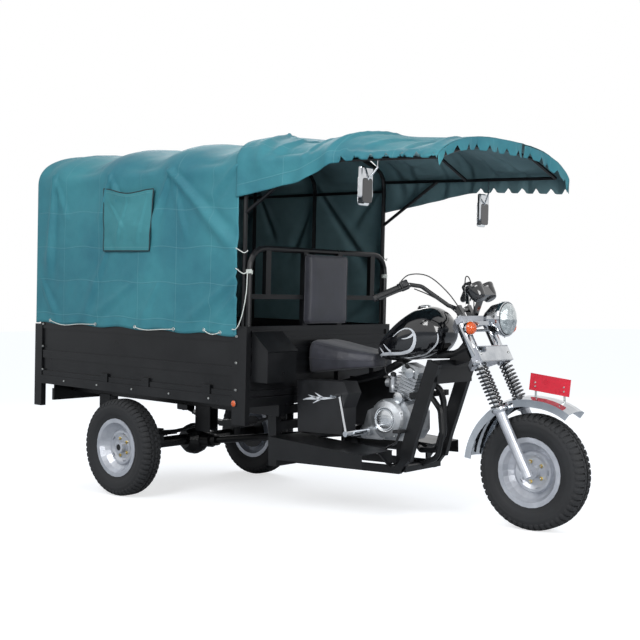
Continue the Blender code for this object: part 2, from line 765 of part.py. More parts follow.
def prop_shaft(vehicle):
    """The shaft from the gearbox to the differential's nose, with its two joint cups."""
    start = Vector((DIFF_NOSE_LENGTH + PROP_SHAFT_CLEARANCE, 0, TYRE_RADIUS))
    end = Vector((PROP_SHAFT_FRONT, 0, PROP_SHAFT_FRONT_HEIGHT))
    cup = PROP_SHAFT_RADIUS * 1.6
    reach = cup * 1.2
    heading = (end - start).normalized()
    shaft = swept([start, end], circle(PROP_SHAFT_RADIUS, 12))
    cups = []
    for point, way in ((start, 1), (end, -1)):
        cups.append(swept([point, point + heading * reach * way], circle(cup, 12)))
    fused("prop_shaft", [shaft] + cups, black_paint(), vehicle)


def chassis_ladder(bed):
    """Two box rails with cross-members, the leaf spring hangers and the front uprights."""
    top = SILL_BOTTOM - GAP
    bottom = top - RAIL_HEIGHT
    inner = RAIL_HALF_SPACING - RAIL_WIDTH / 2
    outer = RAIL_HALF_SPACING + RAIL_WIDTH / 2
    pieces = both(block((RAIL_REAR, inner, bottom), (RAIL_FRONT, outer, top)))
    for x in CHASSIS_CROSS_PLACES:
        half = CHASSIS_CROSS_WIDTH / 2
        low = top - (RAIL_HEIGHT + CHASSIS_CROSS_HEIGHT) / 2
        pieces.append(block((x - half, -inner - HANGER_WALL, low), (x + half, inner + HANGER_WALL,
                                                                  low + CHASSIS_CROSS_HEIGHT)))
    for corners in ((HANGER_FRONT - HANGER_LENGTH, HANGER_FRONT),
                    (REAR_HANGER_FRONT - REAR_HANGER_LENGTH, REAR_HANGER_FRONT)):
        leaf_edge = LEAF_WIDTH / 2 + GAP
        for low, high in ((-leaf_edge - HANGER_WALL, -leaf_edge), (leaf_edge, leaf_edge + HANGER_WALL)):
            outline = ((corners[0], HANGER_BOTTOM + HANGER_WALL), (corners[0] + HANGER_WALL, HANGER_BOTTOM),
                       (corners[1] - HANGER_WALL, HANGER_BOTTOM), (corners[1], HANGER_BOTTOM + HANGER_WALL),
                       (corners[1], bottom + HANGER_WALL), (corners[0], bottom + HANGER_WALL))
            pieces += both(prism(outline, "Y", RAIL_HALF_SPACING + low, RAIL_HALF_SPACING + high))
        roof = bottom - HANGER_WALL
        reach = leaf_edge + HANGER_WALL
        pieces += both(block((corners[0], RAIL_HALF_SPACING - reach, roof),
                             (corners[1], RAIL_HALF_SPACING + reach, bottom + HANGER_WALL)))
    fused("chassis_ladder", pieces, black_paint(), bed)


def bed_frame(bed):
    """Sills, cross-members, the raised floor sheet and the four corner posts."""
    outer = BED_HALF_WIDTH
    top = PANEL_BOTTOM - GAP
    under = top - FLOOR_THICKNESS
    pieces = [block((BED_REAR + PANEL_WALL, -outer, under), (BED_FRONT - PANEL_WALL, outer, top))]
    pieces += both(block((BED_REAR, outer - SILL_WIDTH, SILL_BOTTOM), (BED_FRONT, outer, top)))
    sheet_half = outer - PANEL_INSET - PANEL_WALL - FLOOR_CLEARANCE
    pieces.append(block((BED_REAR + PANEL_WALL + GATE_CLEARANCE, -sheet_half, under),
                        (BED_FRONT - PANEL_WALL - FLOOR_CLEARANCE, sheet_half, top + FLOOR_RAISE)))
    span = BED_FRONT - BED_REAR - CROSS_MEMBER_WIDTH
    for k in range(CROSS_MEMBER_COUNT):
        x = BED_REAR + span * k / (CROSS_MEMBER_COUNT - 1)
        pieces.append(block((x, -outer + SILL_WIDTH / 2, SILL_BOTTOM),
                            (x + CROSS_MEMBER_WIDTH, outer - SILL_WIDTH / 2, under + FLOOR_THICKNESS / 2)))
    pieces += both(block((BED_REAR, outer - POST_THICKNESS, REAR_POST_BOTTOM),
                         (BED_REAR + REAR_POST_LENGTH, outer, REAR_POST_TOP)))
    pieces += both(block((BED_FRONT - FRONT_POST_LENGTH, outer - POST_THICKNESS, FRONT_POST_BOTTOM),
                         (BED_FRONT, outer, PANEL_TOP)))
    for x in HINGE_PLACE_SHARES:
        y = x * (outer - POST_THICKNESS)
        pieces.append(block((HINGE_X, y - HINGE_LENGTH / 2, SILL_BOTTOM + HINGE_ARM),
                            (BED_REAR + HINGE_ARM, y + HINGE_LENGTH / 2, HINGE_Z - HINGE_RADIUS - GAP * 2)))
    fused("bed_frame", pieces, black_paint(), bed)


def ribbed_outline(face, back, low, high, shares):
    """A panel's upright section: a flat back and raised ribs on the face, as (thickness place, height)."""
    height = high - low
    rib = PANEL_RIB if face > back else -PANEL_RIB
    outline = [(back, low)]
    for start, end in shares:
        outline += [(face - rib, low + height * start), (face, low + height * start)]
        outline += [(face, low + height * end), (face - rib, low + height * end)]
    outline.append((back, high))
    tidy = []
    for point in outline:
        tidy = [p for p in tidy if (Vector(p) - Vector(point)).length > GAP]
        tidy.append(point)
    if shares[0][0] == 0.0:
        tidy = [p for p in tidy if p != (face - rib, low)]
    if shares[-1][1] == 1.0:
        tidy = [p for p in tidy if p != (face - rib, high)]
    return tidy


def side_panel(bed, side, name):
    """A pressed drop side with raised ribs and its three hinge plates."""
    face = side * (BED_HALF_WIDTH - PANEL_INSET)
    back = face - side * PANEL_WALL
    start = BED_REAR + REAR_POST_LENGTH + POST_CLEARANCE
    end = BED_FRONT - FRONT_POST_LENGTH - POST_CLEARANCE
    panel = prism(ribbed_outline(face, back, PANEL_BOTTOM, PANEL_TOP, PANEL_RIB_SHARES), "X", start, end)
    plates = []
    for x in SIDE_HINGE_PLACES:
        near, far = sorted((face - side * PANEL_RIB * 2, face + side * SIDE_HINGE_THICKNESS))
        plates.append(block((x - SIDE_HINGE_LENGTH / 2, near, PANEL_BOTTOM + GAP),
                            (x + SIDE_HINGE_LENGTH / 2, far, PANEL_BOTTOM + SIDE_HINGE_HEIGHT)))
    fused(name, [panel] + plates, black_paint(), bed)


def headboard(bed):
    """The ribbed front wall of the load bed."""
    half = BED_HALF_WIDTH - POST_THICKNESS - GAP
    outline = ribbed_outline(BED_FRONT, BED_FRONT - PANEL_WALL, PANEL_BOTTOM, PANEL_TOP, HEADBOARD_RIB_SHARES)
    finish("headboard", prism(outline, "Y", -half, half), black_paint(), bed)


def tailgate(gate_axis):
    """The rear drop gate, built around its hinge line, with three knuckles."""
    half = BED_HALF_WIDTH - POST_THICKNESS - GATE_CLEARANCE
    face = HINGE_OFFSET
    low = GATE_CLEARANCE - HINGE_RADIUS
    high = PANEL_TOP - HINGE_Z - GATE_CLEARANCE / 2
    outline = ribbed_outline(face, face + PANEL_WALL, low, high, PANEL_RIB_SHARES)
    panel = prism(outline, "Y", -half, half)
    knuckles = []
    for share in HINGE_PLACE_SHARES:
        y = share * (BED_HALF_WIDTH - POST_THICKNESS)
        knuckles.append(rod(HINGE_RADIUS, "Y", (0, y, 0), -HINGE_LENGTH / 2, HINGE_LENGTH / 2))
        knuckles.append(block((0, y - HINGE_LENGTH * 0.48, -HINGE_RADIUS / 2),
                              (face + PANEL_RIB * 2, y + HINGE_LENGTH * 0.48, HINGE_RADIUS / 2)))
    fused("tailgate", [panel] + knuckles, black_paint(), gate_axis)


def hoop_route(x, bottom):
    """One bow: up from the side panel, round the shoulder and over the crown."""
    half = [(x, HOOP_HALF_WIDTH, bottom), (x, HOOP_HALF_WIDTH, HOOP_SHOULDER + HOOP_BEND / 2),
            (x, HOOP_HALF_WIDTH * 0.5, HOOP_CROWN - HOOP_BEND * 0.2), (x, 0, HOOP_CROWN)]
    return half + [(px, -py, pz) for px, py, pz in reversed(half[:-1])]


def bow_frame(bed):
    """Four bows, their purlins, and the rails, bow and struts that carry the rider's canopy."""
    pieces = []
    for x in HOOP_PLACES:
        route = rounded(hoop_route(x, PANEL_TOP + GAP), HOOP_BEND, 3)
        pieces.append(swept(route, circle(HOOP_RADIUS, 6)))
    front_hoop = HOOP_PLACES[-1]
    shoulder = HOOP_SHOULDER - HOOP_BEND / 2
    side = HOOP_HALF_WIDTH
    pieces += both(rod(PURLIN_RADIUS, "X", (0, side, shoulder), HOOP_PLACES[0] - PURLIN_RADIUS, front_hoop, 6))
    rail_end = (CANOPY_RAIL_FRONT, CANOPY_RAIL_HALF_WIDTH, HOOP_SHOULDER - CANOPY_RAIL_DROP)
    pieces += both(swept([(front_hoop, side, HOOP_SHOULDER), rail_end], circle(PURLIN_RADIUS, 6)))
    crown_end = HOOP_CROWN - CANOPY_RAIL_DROP * 3
    share = (CANOPY_BOW_PLACE - front_hoop) / (CANOPY_RAIL_FRONT - front_hoop)
    for x, part in ((CANOPY_BOW_PLACE, share), (CANOPY_RAIL_FRONT, 1.0)):
        width = side + (CANOPY_RAIL_HALF_WIDTH - side) * part
        base = HOOP_SHOULDER - CANOPY_RAIL_DROP * part
        crown = HOOP_CROWN + (crown_end - HOOP_CROWN) * part
        half = [(x, width, base), (x, width * 0.55, base + (crown - base) * 0.75), (x, 0, crown)]
        route = half + [(px, -py, pz) for px, py, pz in reversed(half[:-1])]
        pieces.append(swept(rounded(route, HOOP_BEND, 3), circle(PURLIN_RADIUS, 6)))
    pieces.append(swept([(front_hoop, 0, HOOP_CROWN), (CANOPY_RAIL_FRONT, 0, crown_end)],
                        circle(PURLIN_RADIUS, 6)))
    reach = front_hoop + STRUT_REACH
    slope = STRUT_REACH / (CANOPY_RAIL_FRONT - front_hoop)
    strut_end = (reach, side + (CANOPY_RAIL_HALF_WIDTH - side) * slope, HOOP_SHOULDER - CANOPY_RAIL_DROP * slope)
    pieces += both(swept([(front_hoop, side, STRUT_BOTTOM), strut_end], circle(STRUT_RADIUS, 8)))
    fused("bow_frame", pieces, black_paint(), bed)


def roof_half(width, eave, crown):
    """Half of the cloth's section, from the crown out to the eave."""
    points = []
    for k in range(ROOF_STEPS + 1):
        t = k / ROOF_STEPS
        turn = t * math.pi / 2
        points.append((width * math.sin(turn) ** 0.78 if t else 0.0, eave + (crown - eave) * math.cos(turn) ** 0.8
                       if t < 1 else eave))
    return points


def cloth_ring(x, width, bottom, eave, crown, left_bottom=None):
    """A closed section of the cloth at one station; the left side may hang lower."""
    roof = list(reversed(roof_half(width, eave, crown)))
    left = bottom if left_bottom is None else left_bottom
    return ([(x, width, left)] + [(x, y, z) for y, z in roof] +
            [(x, -y, z) for y, z in reversed(roof[:-1])] + [(x, -width, bottom)])


def tarp_cover(bed):
    """The tarpaulin over the load bed: roof, two sides and the rear curtain, open at the front."""
    crown = HOOP_CROWN + HOOP_RADIUS + CLOTH_CLEARANCE + CLOTH_THICKNESS
    eave = HOOP_SHOULDER - HOOP_BEND / 2
    corner = TARP_CORNER

    def skin(offset, overrun):
        rings = []
        rear = TARP_REAR + offset
        radius = corner - offset
        width = TARP_HALF_WIDTH - offset
        for k in range(4):
            turn = math.pi / 2 * k / 3
            inset = radius * (1 - math.sin(turn))
            rings.append(cloth_ring(rear + radius * (1 - math.cos(turn)), width - inset, TARP_BOTTOM - overrun,
                                    eave, crown - offset - inset))
        rings.append(cloth_ring(TARP_FRONT + overrun, width, TARP_BOTTOM - overrun, eave, crown - offset))
        return loft(rings)

    opening = BED_HALF_WIDTH - POST_THICKNESS + GAP
    gate_way = block((TARP_REAR - OVERRUN, -opening, TARP_BOTTOM - OVERRUN),
                     (TARP_REAR + corner + OVERRUN, opening, CURTAIN_BOTTOM))
    cuts = [skin(CLOTH_THICKNESS, OVERRUN), gate_way]
    fused("tarp_cover", [skin(0, 0)], teal_cloth(), bed, cuts, 50)


def canopy_skirt(x, front_drop):
    """Lower edge of the canopy's side skirt: deep by the bed, shallow over the rider."""
    front = HOOP_SHOULDER - front_drop
    knees = ((CANOPY_REAR, HOOP_SHOULDER - SKIRT_REAR_DROP),
             (CANOPY_REAR + STRUT_REACH, HOOP_SHOULDER - SKIRT_MIDDLE_DROP),
             (CANOPY_BOW_PLACE, front), (CANOPY_FRONT + OVERRUN, front))
    for (x0, z0), (x1, z1) in zip(knees, knees[1:]):
        if x <= x1:
            return z0 + (z1 - z0) * (x - x0) / (x1 - x0)
    return knees[-1][1]


def canopy_cover(bed):
    """The rider's canopy: a curved roof with side skirts and a shallow valance across the front."""
    crown = HOOP_CROWN + HOOP_RADIUS + CLOTH_CLEARANCE + CLOTH_THICKNESS
    eave = HOOP_SHOULDER + CLOTH_CLEARANCE

    def ring(x, offset, overrun):
        share = max(0.0, (x - CANOPY_REAR) / (CANOPY_FRONT - CANOPY_REAR))
        drop = CANOPY_FRONT_DROP * share ** 2
        return cloth_ring(x, TARP_HALF_WIDTH - offset, canopy_skirt(x, SKIRT_FRONT_DROP) - overrun,
                          eave - drop / 2 - offset, crown - drop - offset,
                          canopy_skirt(x, SKIRT_LEFT_DROP) - overrun)

    plain = [CANOPY_REAR, CANOPY_REAR + STRUT_REACH, CANOPY_BOW_PLACE]
    outside = loft([ring(x, 0, 0) for x in plain + [(CANOPY_BOW_PLACE + CANOPY_FRONT) / 2, CANOPY_FRONT]])
    inside = loft([ring(x, CLOTH_THICKNESS, OVERRUN) for x in
                   [CANOPY_REAR - OVERRUN] + plain[1:] + [(CANOPY_BOW_PLACE + CANOPY_FRONT) / 2,
                                                         CANOPY_FRONT - CLOTH_THICKNESS]])
    mouth = loft([cloth_ring(x, TARP_HALF_WIDTH - CLOTH_THICKNESS * 2, HOOP_SHOULDER - SKIRT_REAR_DROP,
                             eave - CANOPY_FRONT_DROP / 2 - VALANCE_DEPTH, crown - CANOPY_FRONT_DROP - VALANCE_DEPTH)
                  for x in (CANOPY_FRONT - OVERRUN, CANOPY_FRONT + OVERRUN)])
    fused("canopy_cover", [outside], teal_cloth(), bed, [inside, mouth], 50)


def guard_loop(bed):
    """The bent tube guard behind the rider, with its bar and uprights."""
    base = PANEL_TOP + GAP
    route = [(GUARD_X, GUARD_HALF_WIDTH, base), (GUARD_X, GUARD_HALF_WIDTH, GUARD_TOP),
             (GUARD_X, -GUARD_HALF_WIDTH, GUARD_TOP), (GUARD_X, -GUARD_HALF_WIDTH, base)]
    loop = swept(rounded(route, GUARD_BEND, 5), circle(GUARD_RADIUS, 10))
    half = GUARD_BAR_SIZE / 2
    bar = block((GUARD_X - half, -GUARD_HALF_WIDTH, GUARD_BAR_HEIGHT - half),
                (GUARD_X + half, GUARD_HALF_WIDTH, GUARD_BAR_HEIGHT + half))
    pieces = [loop, bar]
    wide = GUARD_UPRIGHT_SIZE / 2
    for y, low in ((GUARD_UPRIGHT_SIDE, GUARD_BAR_HEIGHT), (GUARD_UPRIGHT_PAD, base)):
        pieces += both(block((GUARD_X - half, y - wide, low), (GUARD_X + half, y + wide, GUARD_TOP)))
    fused("guard_loop", pieces, black_paint(), bed)


def soft_block(low, high, edge):
    """A cushion: a box whose edges are bevelled round."""
    bm = bmesh.new()
    bmesh.ops.create_cube(bm, size=1.0)
    middle = [(a + b) / 2 for a, b in zip(low, high)]
    size = [b - a for a, b in zip(low, high)]
    bmesh.ops.transform(bm, matrix=Matrix.Translation(middle) @ Matrix.Diagonal((*size, 1)), verts=bm.verts)
    bmesh.ops.bevel(bm, geom=bm.edges[:] + bm.verts[:], offset=edge, segments=2, affect="EDGES", profile=0.5)
    return piece_from(bm)


def backrest_pad(bed):
    """The rider's backrest, carried by the guard's inner uprights."""
    rear = GUARD_X + GUARD_BAR_SIZE / 2 + GAP
    pad = soft_block((rear, -PAD_HALF_WIDTH, PAD_BOTTOM), (rear + PAD_THICKNESS, PAD_HALF_WIDTH, PAD_TOP), PAD_EDGE)
    finish("backrest_pad", pad, seat_cover(), bed, 60)


def toolbox_slope():
    """Angle of the lid below level, and its length from the hinge to the front edge."""
    fall = TOOLBOX_REAR_TOP - TOOLBOX_FRONT_TOP
    return math.atan2(fall, TOOLBOX_DEPTH), math.hypot(fall, TOOLBOX_DEPTH)


def toolbox(bed):
    """An open-topped sheet box with a sloping rim, on the headboard."""
    rear = BED_FRONT + GAP
    front = rear + TOOLBOX_DEPTH
    wall = TOOLBOX_WALL
    outline = ((rear, TOOLBOX_BOTTOM), (front, TOOLBOX_BOTTOM), (front, TOOLBOX_FRONT_TOP),
               (rear, TOOLBOX_REAR_TOP))
    body = prism(outline, "Y", -TOOLBOX_OUTER, -TOOLBOX_INNER)
    hollow = block((rear + wall, -TOOLBOX_OUTER + wall, TOOLBOX_BOTTOM + wall),
                   (front - wall, -TOOLBOX_INNER - wall, TOOLBOX_REAR_TOP + OVERRUN))
    fused("toolbox", [body], black_paint(), bed, [hollow])


def toolbox_lid(lid_axis):
    """The lid, built around its hinge line and lying on the sloping rim."""
    slope, length = toolbox_slope()
    start = LID_HINGE_RADIUS * 0.4
    width = (-TOOLBOX_OUTER - LID_THICKNESS, -TOOLBOX_INNER + LID_THICKNESS)
    under = GAP - LID_HINGE_RADIUS
    sheet = block((start, width[0], under), (length + LID_THICKNESS, width[1], under + LID_THICKNESS))
    barrel = rod(LID_HINGE_RADIUS, "Y", (0, 0, 0), width[0], width[1], 10)
    for piece in (sheet, barrel):
        moved(piece, Matrix.Rotation(slope, 4, "Y"))
    fused("toolbox_lid", [sheet, barrel], black_paint(), lid_axis)


def front_frame(vehicle):
    """Two box beams from the head down round the engine, lower rails, backbone, head tube and engine hoop."""
    beams = []
    y = BEAM_HALF_SPACING
    route = [(BEAM_TOP[0], y, BEAM_TOP[1])] + [(x, y, z) for x, z in BEAM_ROUTE]
    beams += both(swept(route, rectangle(BEAM_WIDTH, BEAM_DEPTH)))
    low = LOWER_RAIL_HEIGHT
    last = BEAM_ROUTE[-1]
    rails = [(last[0] + LOWER_RAIL_DEPTH / 2, y, last[1] + LOWER_RAIL_DEPTH / 2), (LOWER_RAIL_FRONT, y, low),
             (UPRIGHT_FRONT - UPRIGHT_LENGTH / 2, y, low)]
    beams += both(swept(rails, rectangle(BEAM_WIDTH, LOWER_RAIL_DEPTH)))
    post_top = SILL_BOTTOM - RAIL_HEIGHT - UPRIGHT_FRONT * math.tan(BED_PITCH) - GAP * 2
    wide = UPRIGHT_HALF_SPACING + UPRIGHT_WIDTH / 2
    beams += both(block((UPRIGHT_FRONT - UPRIGHT_LENGTH, wide - UPRIGHT_WIDTH, low - LOWER_RAIL_DEPTH / 2),
                        (UPRIGHT_FRONT, wide, post_top)))
    axis_x, axis_z = steering_point(0, (UPPER_CLAMP_BOTTOM + LOWER_CLAMP_BOTTOM + CLAMP_THICKNESS) / 2)
    half = (UPPER_CLAMP_BOTTOM - LOWER_CLAMP_BOTTOM - CLAMP_THICKNESS) / 2 - STEER_CLEARANCE / 2
    head = rod(HEAD_TUBE_RADIUS, "Z", (0, 0, 0), -half, half, 20)
    moved(head, Matrix.Translation((axis_x, 0, axis_z)) @ Matrix.Rotation(-RAKE, 4, "Y"))
    spine = rounded([(axis_x, 0, axis_z)] + [(x, 0, z) for x, z in BACKBONE_ROUTE], BACKBONE_RADIUS * 2, 2)
    backbone = swept(spine, circle(BACKBONE_RADIUS, 12))
    top_x, top_z = BEAM_TOP
    depth = BEAM_DEPTH / 2
    cross = block((top_x - depth, -y, CROSS_PLATE_TOP - GUSSET_THICKNESS),
                  (top_x + depth * 0.8, y, top_z + GUSSET_THICKNESS))
    face = block((top_x + depth * 0.2, -y, CROSS_PLATE_BOTTOM), (top_x + depth * 0.2 + GUSSET_THICKNESS, y,
                                                              CROSS_PLATE_TOP))
    gusset_outline = ((top_x - depth, CROSS_PLATE_TOP), (top_x + depth * 0.5, CROSS_PLATE_TOP),
                      (axis_x + HEAD_TUBE_RADIUS * 0.5, axis_z - half * 0.8), (axis_x, axis_z + half * 0.6),
                      (BACKBONE_ROUTE[0][0], BACKBONE_ROUTE[0][1]))
    gusset = prism(gusset_outline, "Y", -GUSSET_THICKNESS * 2, GUSSET_THICKNESS * 2)
    hoop = swept(rounded([(x, 0, z) for x, z in ENGINE_HOOP_ROUTE], ENGINE_HOOP_RADIUS * 4, 3),
                 circle(ENGINE_HOOP_RADIUS, 10))
    end_x, end_z = ENGINE_HOOP_ROUTE[-1]
    start_x, start_z = ENGINE_HOOP_ROUTE[0]
    ties = [block((end_x - LOWER_RAIL_DEPTH / 2, -y, low - LOWER_RAIL_DEPTH / 4),
                  (end_x + LOWER_RAIL_DEPTH / 2, y, low + LOWER_RAIL_DEPTH / 2)),
            block((start_x - ENGINE_HOOP_RADIUS, -y, start_z - ENGINE_HOOP_RADIUS),
                  (start_x + ENGINE_HOOP_RADIUS, y, start_z + ENGINE_HOOP_RADIUS))]
    rear_tie = block((UPRIGHT_FRONT - UPRIGHT_LENGTH, -wide, low - LOWER_RAIL_DEPTH / 2),
                     (UPRIGHT_FRONT, wide, low + LOWER_RAIL_DEPTH / 2))
    spine_z = BACKBONE_ROUTE[-1][1]
    seat_tie = block((UPRIGHT_FRONT - UPRIGHT_LENGTH, -wide, spine_z - BACKBONE_RADIUS * 1.1),
                     (UPRIGHT_FRONT, wide, spine_z + BACKBONE_RADIUS * 1.1))
    pieces = beams[:2] + [cross, face, gusset, head, backbone, seat_tie] + beams[2:] + ties + [rear_tie, hoop]
    fused("front_frame", pieces + frame_seats(), black_paint(), vehicle)


def spine_height(x):
    """Height of the backbone's centre line at a place between the tank's front and the seat's rear."""
    for (x0, z0), (x1, z1) in zip(BACKBONE_ROUTE, BACKBONE_ROUTE[1:]):
        if x1 <= x <= x0:
            return z0 + (z1 - z0) * (x - x0) / (x1 - x0)
    return BACKBONE_ROUTE[0][1]


def seat_bottom(x):
    """Height of the seat's underside."""
    place = (x - SEAT_REAR) / (SEAT_FRONT - SEAT_REAR)
    return SEAT_BOTTOM + (SEAT_FRONT_TOP - SEAT_BOTTOM) * SEAT_RISE_SHARE * place


def board_height(x):
    """Height of the running board's tread."""
    return BOARD_REAR_TOP + (BOARD_FRONT_TOP - BOARD_REAR_TOP) * (x - BOARD_REAR) / (BOARD_FRONT - BOARD_REAR)


def frame_seats():
    """What the seat, tank, covers, engine and running boards rest on."""
    pieces = []
    for x in SADDLE_PLACES:
        pieces.append(block((x, -SADDLE_HALF_WIDTH, spine_height(x)),
                            (x + SADDLE_LENGTH, SADDLE_HALF_WIDTH, seat_bottom(x) - GAP)))
    for x in TANK_PAD_PLACES:
        pieces.append(block((x, GAP - TUNNEL_HALF_WIDTH, spine_height(x)),
                            (x + SADDLE_LENGTH, TUNNEL_HALF_WIDTH - GAP, TUNNEL_TOP - GAP)))
    x = COVER_STAY_PLACE
    pieces.append(rod(COVER_STAY_RADIUS, "Y", (x, 0, spine_height(x)), GAP - COVER_INNER, COVER_INNER - GAP, 10))
    x = ENGINE_MOUNT_PLACE
    half = LOWER_RAIL_DEPTH / 2
    low = LOWER_RAIL_HEIGHT
    pieces.append(block((x - half, -BEAM_HALF_SPACING, low - half * 0.5), (x + half, BEAM_HALF_SPACING, low + half * 0.5)))
    pieces.append(block((x - half * 0.7, -half, low), (x + half * 0.7, half, CASE_BOTTOM - GAP)))
    for x in BOARD_STAY_PLACES:
        top = board_height(x + BOARD_STAY_THICKNESS) - BOARD_WALL - GAP
        start = BEAM_HALF_SPACING
        outline = ((start, low), (start, top), (start + BOARD_STAY_REACH, top))
        pieces += both(prism(outline, "X", x, x + BOARD_STAY_THICKNESS))
    return pieces


def steering_point(forward, up):
    """A point of the fork's frame, as the vehicle's X and Z."""
    axle_x = WHEELBASE - AXLE_LEAD * math.cos(RAKE)
    axle_z = TYRE_RADIUS - AXLE_LEAD * math.sin(RAKE)
    return (axle_x + forward * math.cos(RAKE) - up * math.sin(RAKE),
            axle_z + forward * math.sin(RAKE) + up * math.cos(RAKE))


def running_board(vehicle, side, name):
    """A pressed running board with a deep outer skirt, sloping down to the front."""
    wall = BOARD_WALL
    skirt = [(BOARD_REAR, BOARD_BOTTOM), (BOARD_FRONT, BOARD_BOTTOM), (BOARD_FRONT, BOARD_FRONT_TOP),
             (BOARD_REAR, BOARD_REAR_TOP)]
    tread = [(BOARD_REAR, BOARD_REAR_TOP - wall), (BOARD_FRONT, BOARD_FRONT_TOP - wall),
             (BOARD_FRONT, BOARD_FRONT_TOP), (BOARD_REAR, BOARD_REAR_TOP)]
    pieces = [prism(skirt, "Y", side * (BOARD_OUTER - wall), side * BOARD_OUTER),
              prism(tread, "Y", side * BOARD_INNER, side * (BOARD_OUTER - wall / 2))]
    ends = BOARD_REAR + wall
    pieces.append(block((BOARD_REAR, *sorted_pair(side * BOARD_INNER, side * (BOARD_OUTER - wall / 2))[:1],
                         BOARD_BOTTOM), (ends, sorted_pair(side * BOARD_INNER, side * (BOARD_OUTER - wall / 2))[1],
                                         BOARD_REAR_TOP - wall / 2)))
    fused(name, pieces, black_paint(), vehicle)


def sorted_pair(a, b):
    """Two numbers, the lower first."""
    return (a, b) if a < b else (b, a)


def side_cover(vehicle, side, name):
    """The cover beside the frame below the seat."""
    rise = COVER_TOP - COVER_BOTTOM
    run = COVER_FRONT - COVER_REAR
    outline = ((COVER_REAR, COVER_BOTTOM), (COVER_FRONT - run * 0.12, COVER_BOTTOM),
               (COVER_FRONT - run * 0.10, COVER_BOTTOM + rise * 0.5), (COVER_FRONT, COVER_BOTTOM + rise * 0.78),
               (COVER_FRONT - run * 0.08, COVER_TOP), (COVER_REAR, COVER_TOP))
    low, high = sorted_pair(side * COVER_INNER, side * COVER_OUTER)
    finish(name, prism(outline, "Y", low, high), black_paint(), vehicle)


def seat(vehicle):
    """The saddle, wide at the back and narrow at the nose."""
    rings = []
    stations = ((0.0, 0.86, 0.85), (0.06, 1.0, 1.0), (0.35, 1.0, 0.88), (0.65, 0.92, 0.70), (0.92, 0.66, 0.86),
                (1.0, 0.50, 0.70))
    for place, width_share, top_share in stations:
        x = SEAT_REAR + (SEAT_FRONT - SEAT_REAR) * place
        width = SEAT_HALF_WIDTH * width_share
        full = SEAT_REAR_TOP + (SEAT_FRONT_TOP - SEAT_REAR_TOP) * place
        bottom = seat_bottom(x)
        top = bottom + (full - bottom) * (0.9 + 0.1 * top_share)
        height = top - bottom
        half = [(0, bottom), (width * 0.92, bottom), (width, bottom + height * 0.25), (width, bottom + height * 0.7),
                (width * 0.88, bottom + height * 0.93), (width * 0.5, top), (0, top)]
        ring = [(x, y, z) for y, z in half]
        rings.append(ring + [(x, -y, z) for _, y, z in reversed(ring[1:-1])])
    finish("seat", loft(rings), seat_cover(), vehicle, 60)


def fuel_tank(vehicle):
    """The teardrop tank over the backbone, with its tunnel and filler cap."""
    length = TANK_FRONT - TANK_REAR
    height = TANK_TOP - TANK_BOTTOM
    rings = []
    for place, width_share, low_share, high_share in TANK_STATION_SHARES:
        x = TANK_REAR + length * place
        low = TANK_BOTTOM + height * low_share
        high = TANK_BOTTOM + height * high_share
        ring = []
        for k in range(TANK_SIDES):
            turn = 2 * math.pi * k / TANK_SIDES
            round_y = math.copysign(abs(math.cos(turn)) ** 0.72, math.cos(turn))
            round_z = math.copysign(abs(math.sin(turn)) ** 0.80, math.sin(turn))
            ring.append((x, TANK_HALF_WIDTH * width_share * round_y, (low + high) / 2 + (high - low) / 2 * round_z))
        rings.append(ring)
    body = loft(rings)
    cap_x = TANK_REAR + length * FILLER_PLACE_SHARE
    cap = rod(FILLER_RADIUS, "Z", (cap_x, 0, TANK_TOP), -FILLER_HEIGHT * 2, FILLER_HEIGHT, 20)
    tunnel = block((TANK_REAR - OVERRUN, -TUNNEL_HALF_WIDTH, TANK_BOTTOM - OVERRUN),
                   (TANK_FRONT + OVERRUN, TUNNEL_HALF_WIDTH, TUNNEL_TOP))
    fused("fuel_tank", [body, cap], black_paint(), vehicle, [tunnel], 50)


def engine_crankcase(vehicle):
    """Crankcase with its clutch cover on the right and generator cover on the left."""
    rise = CASE_TOP - CASE_BOTTOM
    run = CASE_FRONT - CASE_REAR
    outline = ((CASE_REAR, CASE_BOTTOM + rise * 0.20), (CASE_REAR + run * 0.12, CASE_BOTTOM),
               (CASE_FRONT - run * 0.12, CASE_BOTTOM), (CASE_FRONT, CASE_BOTTOM + rise * 0.25),
               (CASE_FRONT, CASE_BOTTOM + rise * 0.72), (CASE_FRONT - run * 0.12, CASE_TOP),
               (CASE_REAR + run * 0.55, CASE_TOP), (CASE_REAR + run * 0.12, CASE_BOTTOM + rise * 0.72))
    case = prism(outline, "Y", -CASE_HALF_WIDTH, CASE_HALF_WIDTH)
    face = CASE_HALF_WIDTH
    profile = ((0, face - OVERRUN), (COVER_RADIUS, face - OVERRUN), (COVER_RADIUS, face + COVER_STANDOUT * 0.5),
               (COVER_RADIUS * 0.88, face + COVER_STANDOUT * 0.8), (COVER_RADIUS * 0.62, face + COVER_STANDOUT),
               (0, face + COVER_STANDOUT))
    covers = []
    for side, x, share in ((-1, CRANK_X, 1.0), (1, CRANK_X + COVER_RADIUS * 0.2, 0.82)):
        shape = [(r * share, side * a) for r, a in profile]
        covers.append(turned(shape, "Y", (x, 0, CRANK_Z), COVER_SIDES))
    kick_x, kick_z = KICK_PIVOT
    boss = rod(KICK_RADIUS * 3.4, "Y", (kick_x, 0, kick_z), -face - COVER_STANDOUT * 0.6, -face + OVERRUN, 16)
    gearbox = rod(PROP_SHAFT_RADIUS * 1.8, "X", (0, 0, PROP_SHAFT_FRONT_HEIGHT), PROP_SHAFT_FRONT + PROP_SHAFT_CLEARANCE,
                  CASE_REAR + run * 0.2, 16)
    fused("engine_crankcase", [case] + covers + [boss, gearbox], cast_alloy(), vehicle)


def square_ring(half, z):
    """A square section of the cylinder."""
    return [(-half, -half, z), (half, -half, z), (half, half, z), (-half, half, z)]


